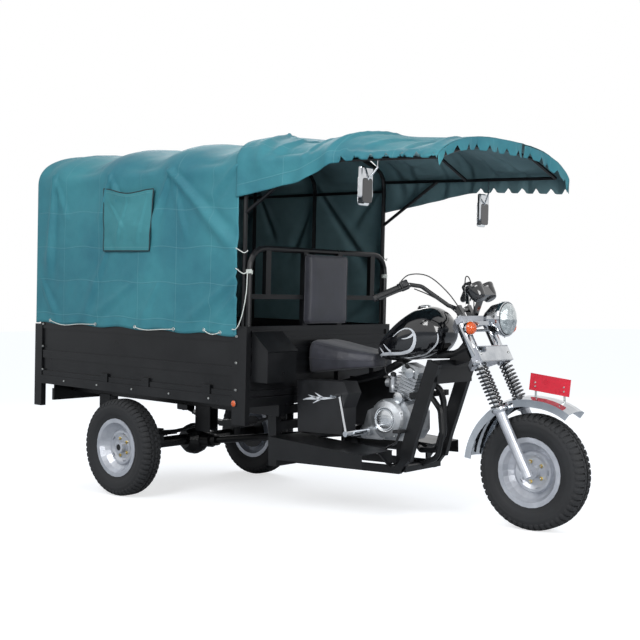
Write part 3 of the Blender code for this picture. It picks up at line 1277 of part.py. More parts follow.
def engine_cylinder(vehicle):
    """The finned barrel and head, leaning forward out of the crankcase."""
    rings = [square_ring(CORE_HALF_SIZE, 0.0)]
    pitch = CYLINDER_LENGTH / FIN_COUNT
    for k in range(FIN_COUNT):
        base = pitch * (k + 0.6) - FIN_THICKNESS / 2
        for half, z in ((CORE_HALF_SIZE, base), (FIN_HALF_SIZE, base), (FIN_HALF_SIZE, base + FIN_THICKNESS),
                        (CORE_HALF_SIZE, base + FIN_THICKNESS)):
            rings.append(square_ring(half, z))
    head = CYLINDER_LENGTH + FIN_THICKNESS
    rings += [square_ring(CORE_HALF_SIZE, head), square_ring(HEAD_HALF_SIZE, head),
              square_ring(HEAD_HALF_SIZE, head + HEAD_HEIGHT * 0.6),
              square_ring(HEAD_HALF_SIZE * 0.7, head + HEAD_HEIGHT)]
    barrel = loft(rings)
    base_x, base_z = CYLINDER_BASE
    lift = CORE_HALF_SIZE * math.sin(CYLINDER_LEAN) + GAP * 2
    moved(barrel, Matrix.Translation((base_x, 0, base_z + lift)) @ Matrix.Rotation(CYLINDER_LEAN, 4, "Y"))
    seat_block = block((base_x - CORE_HALF_SIZE * 0.9, -CORE_HALF_SIZE, CASE_TOP + GAP),
                       (base_x + CORE_HALF_SIZE * 0.9, CORE_HALF_SIZE, CASE_TOP + lift + FIN_THICKNESS))
    fused("engine_cylinder", [barrel, seat_block], cast_alloy(), vehicle)


def carburettor(vehicle):
    """Carburettor and its stub behind the cylinder."""
    x, z = CYLINDER_BASE[0] + CARB_RADIUS * 0.4, CARB_HEIGHT
    start = -CARB_RADIUS * 6.2
    throat = rod(CARB_RADIUS, "X", (x, 0, z), start, -CARB_RADIUS * 2.53, 16)
    body = rod(CARB_RADIUS * 0.95, "Z", (x + start * 0.62, -CARB_RADIUS, z), -CARB_RADIUS * 2, CARB_RADIUS * 1.7, 16)
    fused("carburettor", [throat, body], cast_alloy(), vehicle)


def kick_starter(vehicle):
    """The kick lever on its shaft, standing up beside the engine."""
    x, z = KICK_PIVOT
    start = CASE_HALF_WIDTH + COVER_STANDOUT * 0.6 + GAP
    top_x, top_z = KICK_TOP
    hub = rod(KICK_RADIUS * 2.2, "Y", (x, 0, z), -KICK_REACH, -start, 12)
    arm = swept([(x, -KICK_REACH + KICK_RADIUS, z), (top_x, -KICK_REACH + KICK_RADIUS, top_z)],
                circle(KICK_RADIUS, 8))
    pedal = rod(KICK_RADIUS * 1.2, "Y", (top_x, 0, top_z), -KICK_REACH - KICK_PEDAL, -KICK_REACH + KICK_RADIUS * 2, 10)
    fused("kick_starter", [hub, arm, pedal], chrome(), vehicle)


def exhaust(vehicle):
    """Down pipe in front of the engine, under it, and back to the silencer on the left."""
    pipe = swept(rounded(EXHAUST_ROUTE, EXHAUST_RADIUS * 3, 3), circle(EXHAUST_RADIUS, 10))
    x, y, z = EXHAUST_ROUTE[-1]
    can = turned(((0, -MUFFLER_LENGTH), (MUFFLER_RADIUS * 0.8, -MUFFLER_LENGTH), (MUFFLER_RADIUS, -MUFFLER_LENGTH * 0.94),
                  (MUFFLER_RADIUS, -MUFFLER_LENGTH * 0.15), (EXHAUST_RADIUS * 1.2, 0), (0, 0)), "X", (x, y, z), 20)
    fused("exhaust", [pipe, can], black_paint(), vehicle)


def fork(steering):
    """Clamps, stanchions, sleeves, lower legs, axle and the cover plate, in the steering axis's frame."""
    pieces = []
    clamp_front = LEG_LEAD + SLEEVE_RADIUS
    shoulder = LEG_LEAD - SLEEVE_RADIUS / 2
    outline = ((CLAMP_REAR, -CLAMP_NECK), (shoulder, -CLAMP_HALF_WIDTH), (clamp_front, -CLAMP_HALF_WIDTH),
               (clamp_front, CLAMP_HALF_WIDTH), (shoulder, CLAMP_HALF_WIDTH), (CLAMP_REAR, CLAMP_NECK))
    for bottom in (LOWER_CLAMP_BOTTOM, UPPER_CLAMP_BOTTOM):
        pieces.append(prism(outline, "Z", bottom, bottom + CLAMP_THICKNESS))
    profile = ((0, LEG_BOTTOM), (LEG_RADIUS, LEG_BOTTOM), (LEG_RADIUS, LEG_TOP - SPRING_SEAT_HEIGHT * 2),
               (SPRING_SEAT_RADIUS, LEG_TOP - SPRING_SEAT_HEIGHT), (SPRING_SEAT_RADIUS, LEG_TOP),
               (STANCHION_RADIUS, LEG_TOP), (STANCHION_RADIUS, LOWER_CLAMP_BOTTOM - SPRING_SEAT_HEIGHT),
               (SPRING_SEAT_RADIUS, LOWER_CLAMP_BOTTOM - SPRING_SEAT_HEIGHT),
               (SPRING_SEAT_RADIUS, LOWER_CLAMP_BOTTOM), (SLEEVE_RADIUS, LOWER_CLAMP_BOTTOM + CLAMP_THICKNESS),
               (SLEEVE_RADIUS, UPPER_CLAMP_BOTTOM), (STANCHION_RADIUS, UPPER_CLAMP_BOTTOM + CLAMP_THICKNESS),
               (STANCHION_RADIUS, STANCHION_TOP), (0, STANCHION_TOP))
    pieces += both(turned(profile, "Z", (LEG_LEAD, LEG_HALF_SPACING, 0), FORK_SIDES))
    pieces.append(rod(FRONT_SHAFT_RADIUS, "Y", (AXLE_LEAD, 0, 0), -LEG_HALF_SPACING - LEG_RADIUS,
                      LEG_HALF_SPACING + LEG_RADIUS, 12))
    pieces += both(rod(FRONT_SHAFT_RADIUS * 2, "Y", (AXLE_LEAD, 0, 0), LEG_HALF_SPACING - LEG_RADIUS,
                       LEG_HALF_SPACING + LEG_RADIUS * 0.9, 12))
    plate_start = LEG_LEAD + SLEEVE_RADIUS * 0.6
    plate_end = clamp_front + COVER_PLATE_THICKNESS
    pieces.append(block((plate_start, -CLAMP_HALF_WIDTH + GAP * 10, COVER_PLATE_BOTTOM),
                        (plate_end, CLAMP_HALF_WIDTH - GAP * 10, COVER_PLATE_TOP)))
    fused("fork", pieces, silver_paint(), steering)


def fork_spring(steering, side, name):
    """An open coil round the stanchion, its ends on the two seats."""
    bottom = LEG_TOP + COIL_WIRE + COIL_END
    top = LOWER_CLAMP_BOTTOM - SPRING_SEAT_HEIGHT - COIL_WIRE - COIL_END
    count = COIL_TURNS * COIL_TURN_STEPS
    points = []
    for k in range(count + 1):
        turn = 2 * math.pi * k / COIL_TURN_STEPS
        points.append((LEG_LEAD + COIL_RADIUS * math.cos(turn), side * LEG_HALF_SPACING + COIL_RADIUS * math.sin(turn),
                       bottom + (top - bottom) * k / count))
    finish(name, swept(points, circle(COIL_WIRE, COIL_SIDES), (0, 0, 1)), black_paint(), steering, 60)


def handlebar(steering):
    """The swept-back bar with its grips, clutch and brake levers and the two risers."""
    right = [(x, -y, z) for x, y, z in BAR_ROUTE]
    route = rounded(list(reversed(right)) + list(BAR_ROUTE), BAR_BEND, 4)
    pieces = [swept(route, circle(BAR_RADIUS, 10))]
    tip = Vector(BAR_ROUTE[-1])
    heading = (tip - Vector(BAR_ROUTE[-2])).normalized()
    inner = tip - heading * GRIP_LENGTH
    grip = swept([inner, tip + heading * BAR_RADIUS], circle(GRIP_RADIUS, 12))
    mount = inner - heading * GRIP_RADIUS
    ahead = Vector((math.cos(RAKE), 0, -math.sin(RAKE)))
    knuckle = mount + ahead * LEVER_STANDOFF
    lever_end = knuckle + heading * LEVER_LENGTH
    lever = swept([mount, knuckle, lever_end], circle(LEVER_RADIUS, 8))
    for piece in (grip, lever):
        pieces += both(piece)
    top = UPPER_CLAMP_BOTTOM + CLAMP_THICKNESS + GAP
    half = RISER_SIZE / 2
    x = BAR_ROUTE[0][0]
    pieces += both(block((x - half, RISER_HALF_SPACING - half, top), (x + half, RISER_HALF_SPACING + half,
                                                                     BAR_ROUTE[0][2] + BAR_RADIUS * 2)))
    fused("handlebar", pieces, black_paint(), steering)


def sleeve_front(height):
    """Where the fork sleeves' front stands at a height, in the level frame."""
    lead = LEG_LEAD - AXLE_LEAD
    up = (height - lead * math.sin(RAKE)) / math.cos(RAKE)
    return lead * math.cos(RAKE) - up * math.sin(RAKE) + SLEEVE_RADIUS / math.cos(RAKE)


def fork_to_level():
    """Turns a place in the fork's frame into the level frame at the front wheel's centre."""
    return Matrix.Rotation(-RAKE, 4, "Y") @ Matrix.Translation((-AXLE_LEAD, 0, 0))


def headlight(level):
    """The round headlamp shell with its rim and glass face, on two ears."""
    x, z = LAMP_PLACE
    r = LAMP_RADIUS
    d = LAMP_DEPTH
    profile = ((0, -d * 0.5), (r * 0.45, -d * 0.44), (r * 0.80, -d * 0.15), (r * 0.93, d * 0.25), (r, d * 0.28),
               (r, d * 0.42), (r * 0.90, d * 0.44), (r * 0.5, d * 0.50), (0, d * 0.52))
    shell = turned(profile, "X", (x, 0, z), LAMP_SIDES)
    ear_low = z - LAMP_EAR_DROP - LAMP_EAR_RADIUS
    ear_end = sleeve_front(ear_low) + GAP
    half = LAMP_EAR_RADIUS
    outline = ((ear_end, LEG_HALF_SPACING - half), (ear_end, LEG_HALF_SPACING + half), (x, r * 0.9), (x, r * 0.5),
               (x - d * 0.2, r * 0.5))
    ears = both(prism(outline, "Z", ear_low, ear_low + half * 2))
    fused("headlight", [shell] + ears, chrome(), level)


def gauge_cluster(level):
    """Two cups for the dials on one bridge, tilted back to the rider."""
    r = GAUGE_RADIUS
    h = GAUGE_HEIGHT
    profile = ((0, -h / 2), (r * 0.55, -h / 2), (r * 0.86, -h * 0.25), (r, h * 0.2), (r * 1.06, h * 0.3),
               (r * 1.06, h / 2), (r * 0.92, h / 2), (r * 0.90, h * 0.42), (0, h * 0.42))
    pieces = [turned(profile, "Z", (0, s * GAUGE_HALF_SPACING, 0), 20) for s in (-1, 1)]
    bridge = block((-r * 0.55, -GAUGE_HALF_SPACING, -h * 0.42), (r * 0.8, GAUGE_HALF_SPACING, h * 0.22))
    tilt = Matrix.Translation((GAUGE_PLACE[0], 0, GAUGE_PLACE[1])) @ Matrix.Rotation(GAUGE_TILT, 4, "Y")
    for piece in pieces + [bridge]:
        moved(piece, tilt)
    top = UPPER_CLAMP_BOTTOM + CLAMP_THICKNESS + GAP
    clamp_front = LEG_LEAD + SLEEVE_RADIUS
    feet = [fork_to_level() @ Vector((x, 0, top)) for x in (clamp_front - GAUGE_FOOT_LENGTH, clamp_front)]
    outline = [(foot.x, foot.z) for foot in feet]
    outline += [(GAUGE_PLACE[0] + r * 0.3, GAUGE_PLACE[1]), (GAUGE_PLACE[0] - r * 0.2, GAUGE_PLACE[1])]
    stem = prism(outline, "Y", -GAUGE_FOOT_LENGTH / 2, GAUGE_FOOT_LENGTH / 2)
    fused("gauge_cluster", [bridge, stem] + pieces, chrome(), level)


def indicator_bar(level):
    """The front indicators on one cross bar in front of the fork sleeves."""
    x, z = INDICATOR_PLACE
    r = INDICATOR_RADIUS
    d = INDICATOR_DEPTH
    profile = ((0, -d / 2), (r * 0.6, -d * 0.45), (r * 0.95, -d * 0.1), (r, 0), (r * 0.95, d * 0.12),
               (r * 0.7, d * 0.38), (0, d / 2))
    pieces = [turned(profile, "X", (x, s * INDICATOR_HALF_SPACING, z), 18) for s in (-1, 1)]
    bar_z = z - r * 0.4
    bar_x = sleeve_front(bar_z) + (INDICATOR_STALK + GAP) / math.cos(RAKE)
    bar = rod(INDICATOR_STALK, "Y", (bar_x, 0, bar_z), -INDICATOR_HALF_SPACING, INDICATOR_HALF_SPACING, 8)
    fused("indicator_bar", [bar] + pieces, amber(), level)


def fender_flare(turn):
    """How far the front tip of the mudguard lifts off its circle at an angle."""
    share = (FENDER_REAR_ANGLE - turn) / (FENDER_REAR_ANGLE - FENDER_FRONT_ANGLE)
    return FENDER_CROWN * max(0.0, share * 4 - 3)


def front_fender(level):
    """The chromed mudguard: a crowned strip with turned-down lips, arched over the wheel."""
    rings = []
    half = FENDER_HALF_WIDTH
    for k in range(FENDER_STEPS + 1):
        share = k / FENDER_STEPS
        turn = FENDER_REAR_ANGLE + (FENDER_FRONT_ANGLE - FENDER_REAR_ANGLE) * share
        outer = [(-half, -FENDER_LIP), (-half, 0), (-half * 0.55, FENDER_CROWN * 0.75), (0, FENDER_CROWN),
                 (half * 0.55, FENDER_CROWN * 0.75), (half, 0), (half, -FENDER_LIP)]
        inner = [(y - math.copysign(FENDER_WALL, y) if abs(y) > half * 0.6 else y,
                  h - (0 if h < 0 else FENDER_WALL)) for y, h in reversed(outer)]
        ring = []
        for y, h in outer + inner:
            radius = FENDER_RADIUS + h + fender_flare(turn)
            ring.append((radius * math.cos(turn), y, radius * math.sin(turn)))
        rings.append(ring)
    lugs = both(block((LEG_LEAD - FENDER_LUG / 2, half - FENDER_WALL / 2, LEG_TOP - SPRING_SEAT_HEIGHT),
                      (LEG_LEAD + FENDER_LUG / 2, LEG_HALF_SPACING - SPRING_SEAT_RADIUS * math.cos(math.pi / FORK_SIDES) - GAP,
                       LEG_TOP)))
    for lug in lugs:
        moved(lug, fork_to_level())
    fused("front_fender", [loft(rings)] + lugs, chrome(), level)


def front_plate(level):
    """The bare plate that stands along the fender, on two posts."""
    half = PLATE_THICKNESS / 2
    plate = prism(PLATE_CORNERS, "Y", -half, half)
    pieces = [plate]
    for x in PLATE_POST_PLACES:
        near = x - PLATE_POST_WIDTH / 2
        crown = FENDER_RADIUS + FENDER_CROWN + GAP * 2
        crown += fender_flare(math.acos(near / crown))
        foot = math.sqrt(crown ** 2 - near ** 2)
        pieces.append(block((x - PLATE_POST_WIDTH / 2, -PLATE_POST_WIDTH / 2, foot),
                            (x + PLATE_POST_WIDTH / 2, PLATE_POST_WIDTH / 2, PLATE_CORNERS[0][1] + OVERRUN)))
    fused("front_plate", pieces, red_paint(), level)


def mirror(bed, side, name, x, drop):
    """A mirror on a bent arm that hangs from the canopy rail."""
    z = HOOP_SHOULDER - drop
    arm_x = x + MIRROR_ARM_LEAD
    share = (arm_x - HOOP_PLACES[-1]) / (CANOPY_RAIL_FRONT - HOOP_PLACES[-1])
    rail_y = HOOP_HALF_WIDTH + (CANOPY_RAIL_HALF_WIDTH - HOOP_HALF_WIDTH) * share
    rail_z = HOOP_SHOULDER - CANOPY_RAIL_DROP * share - PURLIN_RADIUS * math.cos(math.pi / 6) - GAP
    shell = soft_block((x, -MIRROR_HALF_WIDTH, z - MIRROR_HALF_HEIGHT),
                       (x + MIRROR_THICKNESS, MIRROR_HALF_WIDTH, z + MIRROR_HALF_HEIGHT), MIRROR_THICKNESS / 3)
    moved(shell, Matrix.Translation((0, side * HOOP_HALF_WIDTH, 0)))
    arm = swept([(arm_x, side * rail_y, rail_z), (arm_x, side * rail_y, z + MIRROR_HALF_HEIGHT),
                 (x + MIRROR_THICKNESS / 2, side * HOOP_HALF_WIDTH, z)], circle(MIRROR_ROD, 8))
    fused(name, [shell, arm], chrome(), bed)


def tail_lamp_bar(bed):
    """The bar under the bed's rear edge with its two lamps."""
    top = SILL_BOTTOM - GAP
    bar = block((LAMP_BAR_X, -TAIL_LAMP_HALF_SPACING - TAIL_LAMP_WIDTH / 2, LAMP_BAR_HEIGHT - TAIL_LAMP_HEIGHT / 2),
                (LAMP_BAR_X + LAMP_BAR_THICKNESS, TAIL_LAMP_HALF_SPACING + TAIL_LAMP_WIDTH / 2, top))
    lamps = both(block((LAMP_BAR_X - TAIL_LAMP_DEPTH / 2, TAIL_LAMP_HALF_SPACING - TAIL_LAMP_WIDTH / 2,
                        LAMP_BAR_HEIGHT - TAIL_LAMP_HEIGHT / 2),
                       (LAMP_BAR_X + LAMP_BAR_THICKNESS / 2, TAIL_LAMP_HALF_SPACING + TAIL_LAMP_WIDTH / 2,
                        LAMP_BAR_HEIGHT + TAIL_LAMP_HEIGHT / 2)))
    fused("tail_lamp_bar", [bar] + lamps, red_paint(), bed)


def build():
    """Make every frame, then every piece on it."""
    clear_scene()
    vehicle = empty("vehicle", None, (REAR_AXLE_X, 0, 0))
    bed = empty("bed", vehicle, rotation=(0, BED_PITCH, 0))
    gate_axis = empty("gate_axis", bed, (HINGE_X, 0, HINGE_Z))
    lid_x = BED_FRONT + GAP + LID_HINGE_RADIUS
    slope, _ = toolbox_slope()
    lid_lift = (LID_HINGE_RADIUS + GAP) / math.cos(slope) - LID_HINGE_RADIUS * math.tan(slope)
    lid_axis = empty("lid_axis", bed, (lid_x, 0, TOOLBOX_REAR_TOP + lid_lift))
    axis_x, axis_z = steering_point(0, 0)
    steering = empty("steering_axis", vehicle, (axis_x, 0, axis_z), (0, -RAKE, 0))
    level = empty("fork_level", steering, (AXLE_LEAD, 0, 0), (0, RAKE, 0))
    right_axle = empty("rear_axle_right", vehicle, (0, -TRACK / 2, TYRE_RADIUS))
    left_axle = empty("rear_axle_left", vehicle, (0, TRACK / 2, TYRE_RADIUS))

    wheel("rear_right", right_axle, -1, SHAFT_RADIUS)
    wheel("rear_left", left_axle, 1, SHAFT_RADIUS)
    wheel("front", level, -1, FRONT_SHAFT_RADIUS)

    rear_axle(vehicle)
    leaf_spring(vehicle, -1, "leaf_spring_right")
    leaf_spring(vehicle, 1, "leaf_spring_left")
    prop_shaft(vehicle)
    chassis_ladder(bed)
    bed_frame(bed)
    side_panel(bed, -1, "side_panel_right")
    side_panel(bed, 1, "side_panel_left")
    headboard(bed)
    tailgate(gate_axis)
    tail_lamp_bar(bed)
    bow_frame(bed)
    tarp_cover(bed)
    canopy_cover(bed)
    guard_loop(bed)
    backrest_pad(bed)
    toolbox(bed)
    toolbox_lid(lid_axis)
    mirror(bed, -1, "mirror_right", MIRROR_RIGHT_X, MIRROR_RIGHT_DROP)
    mirror(bed, 1, "mirror_left", MIRROR_LEFT_X, MIRROR_LEFT_DROP)

    front_frame(vehicle)
    running_board(vehicle, -1, "running_board_right")
    running_board(vehicle, 1, "running_board_left")
    side_cover(vehicle, -1, "side_cover_right")
    side_cover(vehicle, 1, "side_cover_left")
    seat(vehicle)
    fuel_tank(vehicle)
    engine_crankcase(vehicle)
    engine_cylinder(vehicle)
    carburettor(vehicle)
    kick_starter(vehicle)
    exhaust(vehicle)

    fork(steering)
    fork_spring(steering, -1, "fork_spring_right")
    fork_spring(steering, 1, "fork_spring_left")
    handlebar(steering)
    headlight(level)
    gauge_cluster(level)
    indicator_bar(level)
    front_fender(level)
    front_plate(level)


build()
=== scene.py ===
"""Studio view of the cargo motor tricycle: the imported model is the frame, and cloth, trim and finishes go on it.

Lengths are metres. VEHICLE stands at the rear axle on the ground, BED is the load bed's pitched frame,
FORK lies along the steering axis and WHEEL is level at the front wheel's centre.
"""
import math

import bmesh
import bpy
from mathutils import Matrix, Vector, noise


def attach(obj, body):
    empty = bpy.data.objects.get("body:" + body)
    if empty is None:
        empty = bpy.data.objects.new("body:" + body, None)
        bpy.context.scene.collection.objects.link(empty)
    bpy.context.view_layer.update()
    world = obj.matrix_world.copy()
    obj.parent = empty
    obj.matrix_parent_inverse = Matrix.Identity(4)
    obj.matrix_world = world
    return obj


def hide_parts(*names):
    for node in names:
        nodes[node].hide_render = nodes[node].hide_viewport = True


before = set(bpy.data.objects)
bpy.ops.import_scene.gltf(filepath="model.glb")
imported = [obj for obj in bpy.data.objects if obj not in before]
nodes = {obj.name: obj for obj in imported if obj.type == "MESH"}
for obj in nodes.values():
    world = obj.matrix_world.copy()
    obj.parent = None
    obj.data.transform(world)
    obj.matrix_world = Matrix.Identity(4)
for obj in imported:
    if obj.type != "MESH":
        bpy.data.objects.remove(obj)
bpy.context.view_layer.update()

MM = 0.001
SIDES = ((-1, "right"), (1, "left"))
REAR_AXLE_X = -0.944706
BED_PITCH = math.radians(2.2)
RAKE = math.radians(26.5)
TRACK = 1.15
TYRE_RADIUS = 0.285
STEERING_FOOT = (1.426073, 0.0, 0.260459)
FRONT_HUB = (1.475294, 0.0, 0.285)

VEHICLE = Matrix.Translation((REAR_AXLE_X, 0, 0))
BED = VEHICLE @ Matrix.Rotation(BED_PITCH, 4, "Y")
FORK = Matrix.Translation(STEERING_FOOT) @ Matrix.Rotation(-RAKE, 4, "Y")
WHEEL = Matrix.Translation(FRONT_HUB)

# Studio

CAMERA_PLACE = (5.1563 + REAR_AXLE_X, -4.8314, 1.0646)
CAMERA_YAW = 0.7047
CAMERA_PITCH = 0.0056
CAMERA_ROLL = -0.0064
FOCAL_PIXELS = 1113.67
FRAME_PIXELS = 640
SENSOR_MM = 36.0


def make_camera():
    """The camera where the photograph was taken from."""
    yaw, pitch, roll = CAMERA_YAW, CAMERA_PITCH, CAMERA_ROLL
    back = Vector((math.sin(yaw) * math.cos(pitch), -math.cos(yaw) * math.cos(pitch), math.sin(pitch)))
    right = Vector((math.cos(yaw), math.sin(yaw), 0))
    up = back.cross(right)
    turned_right = right * math.cos(roll) + up * math.sin(roll)
    turned_up = up * math.cos(roll) - right * math.sin(roll)
    data = bpy.data.cameras.new("studio_camera")
    data.lens = FOCAL_PIXELS / FRAME_PIXELS * SENSOR_MM
    data.sensor_width = SENSOR_MM
    data.clip_end = 200
    camera = bpy.data.objects.new("studio_camera", data)
    bpy.context.collection.objects.link(camera)
    axes = Matrix((turned_right, turned_up, back)).transposed().to_4x4()
    camera.matrix_world = Matrix.Translation(CAMERA_PLACE) @ axes
    bpy.context.scene.camera = camera


def hex_linear(colour):
    """An sRGB hex colour as linear RGBA."""
    channels = [int(colour[i:i + 2], 16) / 255 for i in (1, 3, 5)]
    linear = [c / 12.92 if c <= 0.04045 else ((c + 0.055) / 1.055) ** 2.4 for c in channels]
    return (*linear, 1.0)


def add_node(tree, kind, links=None, **settings):
    """A node with its settings; links name its inputs and give each a value or another node's output."""
    made = tree.nodes.new(kind)
    for setting, value in settings.items():
        setattr(made, setting, value)
    for socket, value in (links or {}).items():
        if isinstance(value, bpy.types.NodeSocket):
            tree.links.new(value, made.inputs[socket])
        else:
            made.inputs[socket].default_value = value
    return made


def make_world():
    """White behind the part and in its gloss; a soft sky that darkens below the horizon lights it."""
    world = bpy.data.worlds.new("studio_world")
    world.use_nodes = True
    bpy.context.scene.world = world
    tree = world.node_tree
    tree.nodes.clear()
    path = add_node(tree, "ShaderNodeLightPath")
    direct = add_node(tree, "ShaderNodeMath", {0: path.outputs["Is Camera Ray"],
                                               1: path.outputs["Is Transmission Ray"]},
                      operation="MAXIMUM")
    seen = add_node(tree, "ShaderNodeMath", {0: direct.outputs[0], 1: path.outputs["Is Glossy Ray"]},
                    operation="MAXIMUM")
    heading = add_node(tree, "ShaderNodeTexCoord").outputs["Generated"]
    height = add_node(tree, "ShaderNodeSeparateXYZ", {"Vector": heading}).outputs["Z"]
    rise = add_node(tree, "ShaderNodeMapRange", {"Value": height, "From Min": -0.15, "From Max": 0.75, "To Min": 0.34,
                                                 "To Max": 0.72})
    soft = add_node(tree, "ShaderNodeBackground", {"Color": hex_linear("#E4ECF5"), "Strength": rise.outputs[0]})
    white = add_node(tree, "ShaderNodeBackground", {"Color": (1, 1, 1, 1), "Strength": 1.0})
    mixed = add_node(tree, "ShaderNodeMixShader", {0: seen.outputs[0], 1: soft.outputs[0], 2: white.outputs[0]})
    add_node(tree, "ShaderNodeOutputWorld", {"Surface": mixed.outputs[0]})


def make_floor():
    """A pale floor that keeps the part's shadow and goes to white away from it."""
    bpy.ops.mesh.primitive_plane_add(size=120)
    floor = bpy.context.object
    floor.name = "studio_floor"
    look = bpy.data.materials.new("studio_floor_paint")
    look.use_nodes = True
    tree = look.node_tree
    tree.nodes.clear()
    path = add_node(tree, "ShaderNodeLightPath")
    seen = path.outputs["Is Camera Ray"]
    paint = add_node(tree, "ShaderNodeBsdfDiffuse", {"Color": hex_linear("#C9CBCE")})
    glow = add_node(tree, "ShaderNodeEmission", {"Color": (1, 1, 1, 1), "Strength": 0.66})
    lit = add_node(tree, "ShaderNodeAddShader", {0: paint.outputs[0], 1: glow.outputs[0]})
    mixed = add_node(tree, "ShaderNodeMixShader", {0: seen, 1: paint.outputs[0], 2: lit.outputs[0]})
    add_node(tree, "ShaderNodeOutputMaterial", {"Surface": mixed.outputs[0]})
    floor.data.materials.append(look)


def make_lamp(name, place, target, size, power):
    """A square soft box that points at a place on the part."""
    data = bpy.data.lights.new(name, "AREA")
    data.size = size
    data.energy = power
    lamp = bpy.data.objects.new(name, data)
    bpy.context.collection.objects.link(lamp)
    heading = Vector(target) - Vector(place)
    lamp.matrix_world = Matrix.Translation(place) @ heading.to_track_quat("-Z", "Y").to_matrix().to_4x4()


def make_studio():
    """Camera, world, floor and the three soft boxes."""
    make_camera()
    make_world()
    make_floor()
    make_lamp("key_box", (0.9, -5.2, 4.4), (-0.2, 0.0, 1.0), 2.6, 190)
    make_lamp("front_box", (5.2, -1.8, 2.0), (0.4, 0.0, 1.2), 2.2, 130)
    make_lamp("back_box", (-3.4, 3.2, 4.8), (0.0, 0.0, 1.2), 3.0, 85)


make_studio()
bpy.context.scene.view_settings.view_transform = "Standard"

# Finishes


def start_finish(name, colour, roughness, metallic=0.0):
    """A Principled finish that starts from one colour; returns the material, its tree and its shader."""
    look = bpy.data.materials.new(name)
    look.use_nodes = True
    shader = look.node_tree.nodes["Principled BSDF"]
    shader.inputs["Base Color"].default_value = hex_linear(colour)
    shader.inputs["Roughness"].default_value = roughness
    shader.inputs["Metallic"].default_value = metallic
    return look, look.node_tree, shader


def vary(tree, shader, place, spacing, colours, roughness):
    """Let colour and roughness wander between two values over patches of a real size."""
    patches = add_node(tree, "ShaderNodeTexNoise", {"Vector": place, "Scale": 1 / spacing, "Detail": 5.0,
                                                    "Roughness": 0.6})
    spread = add_node(tree, "ShaderNodeMapRange", {"Value": patches.outputs["Fac"], "From Min": 0.32,
                                                   "From Max": 0.68})
    tint = add_node(tree, "ShaderNodeMixRGB", {"Fac": spread.outputs[0], "Color1": hex_linear(colours[0]),
                                               "Color2": hex_linear(colours[1])})
    gloss = add_node(tree, "ShaderNodeMapRange", {"Value": patches.outputs["Fac"], "From Min": 0.3, "From Max": 0.7,
                                                  "To Min": roughness[0], "To Max": roughness[1]})
    tree.links.new(tint.outputs[0], shader.inputs["Base Color"])
    tree.links.new(gloss.outputs[0], shader.inputs["Roughness"])
    return tint


def emboss(tree, shader, height, depth, strength=1.0):
    """Raise the surface by a height pattern of a real depth."""
    bump = add_node(tree, "ShaderNodeBump", {"Height": height, "Distance": depth, "Strength": strength})
    tree.links.new(bump.outputs[0], shader.inputs["Normal"])


def object_place(tree):
    """The place on the piece, in metres."""
    return add_node(tree, "ShaderNodeTexCoord").outputs["Object"]


def grain(tree, place, spacing, detail=2.0):
    """A fine even grain of a real spacing."""
    made = add_node(tree, "ShaderNodeTexNoise", {"Vector": place, "Scale": 1 / spacing, "Detail": detail})
    return made.outputs["Fac"]


def creases(tree, along, places, width):
    """Narrow raised lines at given places along one direction of the cut."""
    total = None
    for place in places:
        off = add_node(tree, "ShaderNodeMath", {0: along, 1: place}, operation="SUBTRACT")
        away = add_node(tree, "ShaderNodeMath", {0: off.outputs[0]}, operation="ABSOLUTE")
        line = add_node(tree, "ShaderNodeMapRange", {"Value": away.outputs[0], "From Min": 0.0, "From Max": width,
                                                     "To Min": 1.0, "To Max": 0.0}, interpolation_type="SMOOTHSTEP")
        if total is None:
            total = line
        else:
            total = add_node(tree, "ShaderNodeMath", {0: total.outputs[0], 1: line.outputs[0]}, operation="ADD")
    return total.outputs[0]


def worn_finish(name, colour, roughness, patch, colours, spread, metallic=0.0, grained=None, sockets=None):
    """A finish whose colour and roughness wander over patches of a real size.

    grained gives an even grain's spacing, depth and strength, and sockets sets the shader's own values."""
    look, tree, shader = start_finish(name, colour, roughness, metallic)
    place = object_place(tree)
    vary(tree, shader, place, patch, colours, spread)
    if grained:
        spacing, depth, strength = grained
        emboss(tree, shader, grain(tree, place, spacing), depth, strength)
    for socket, value in (sockets or {}).items():
        shader.inputs[socket].default_value = value
    return look


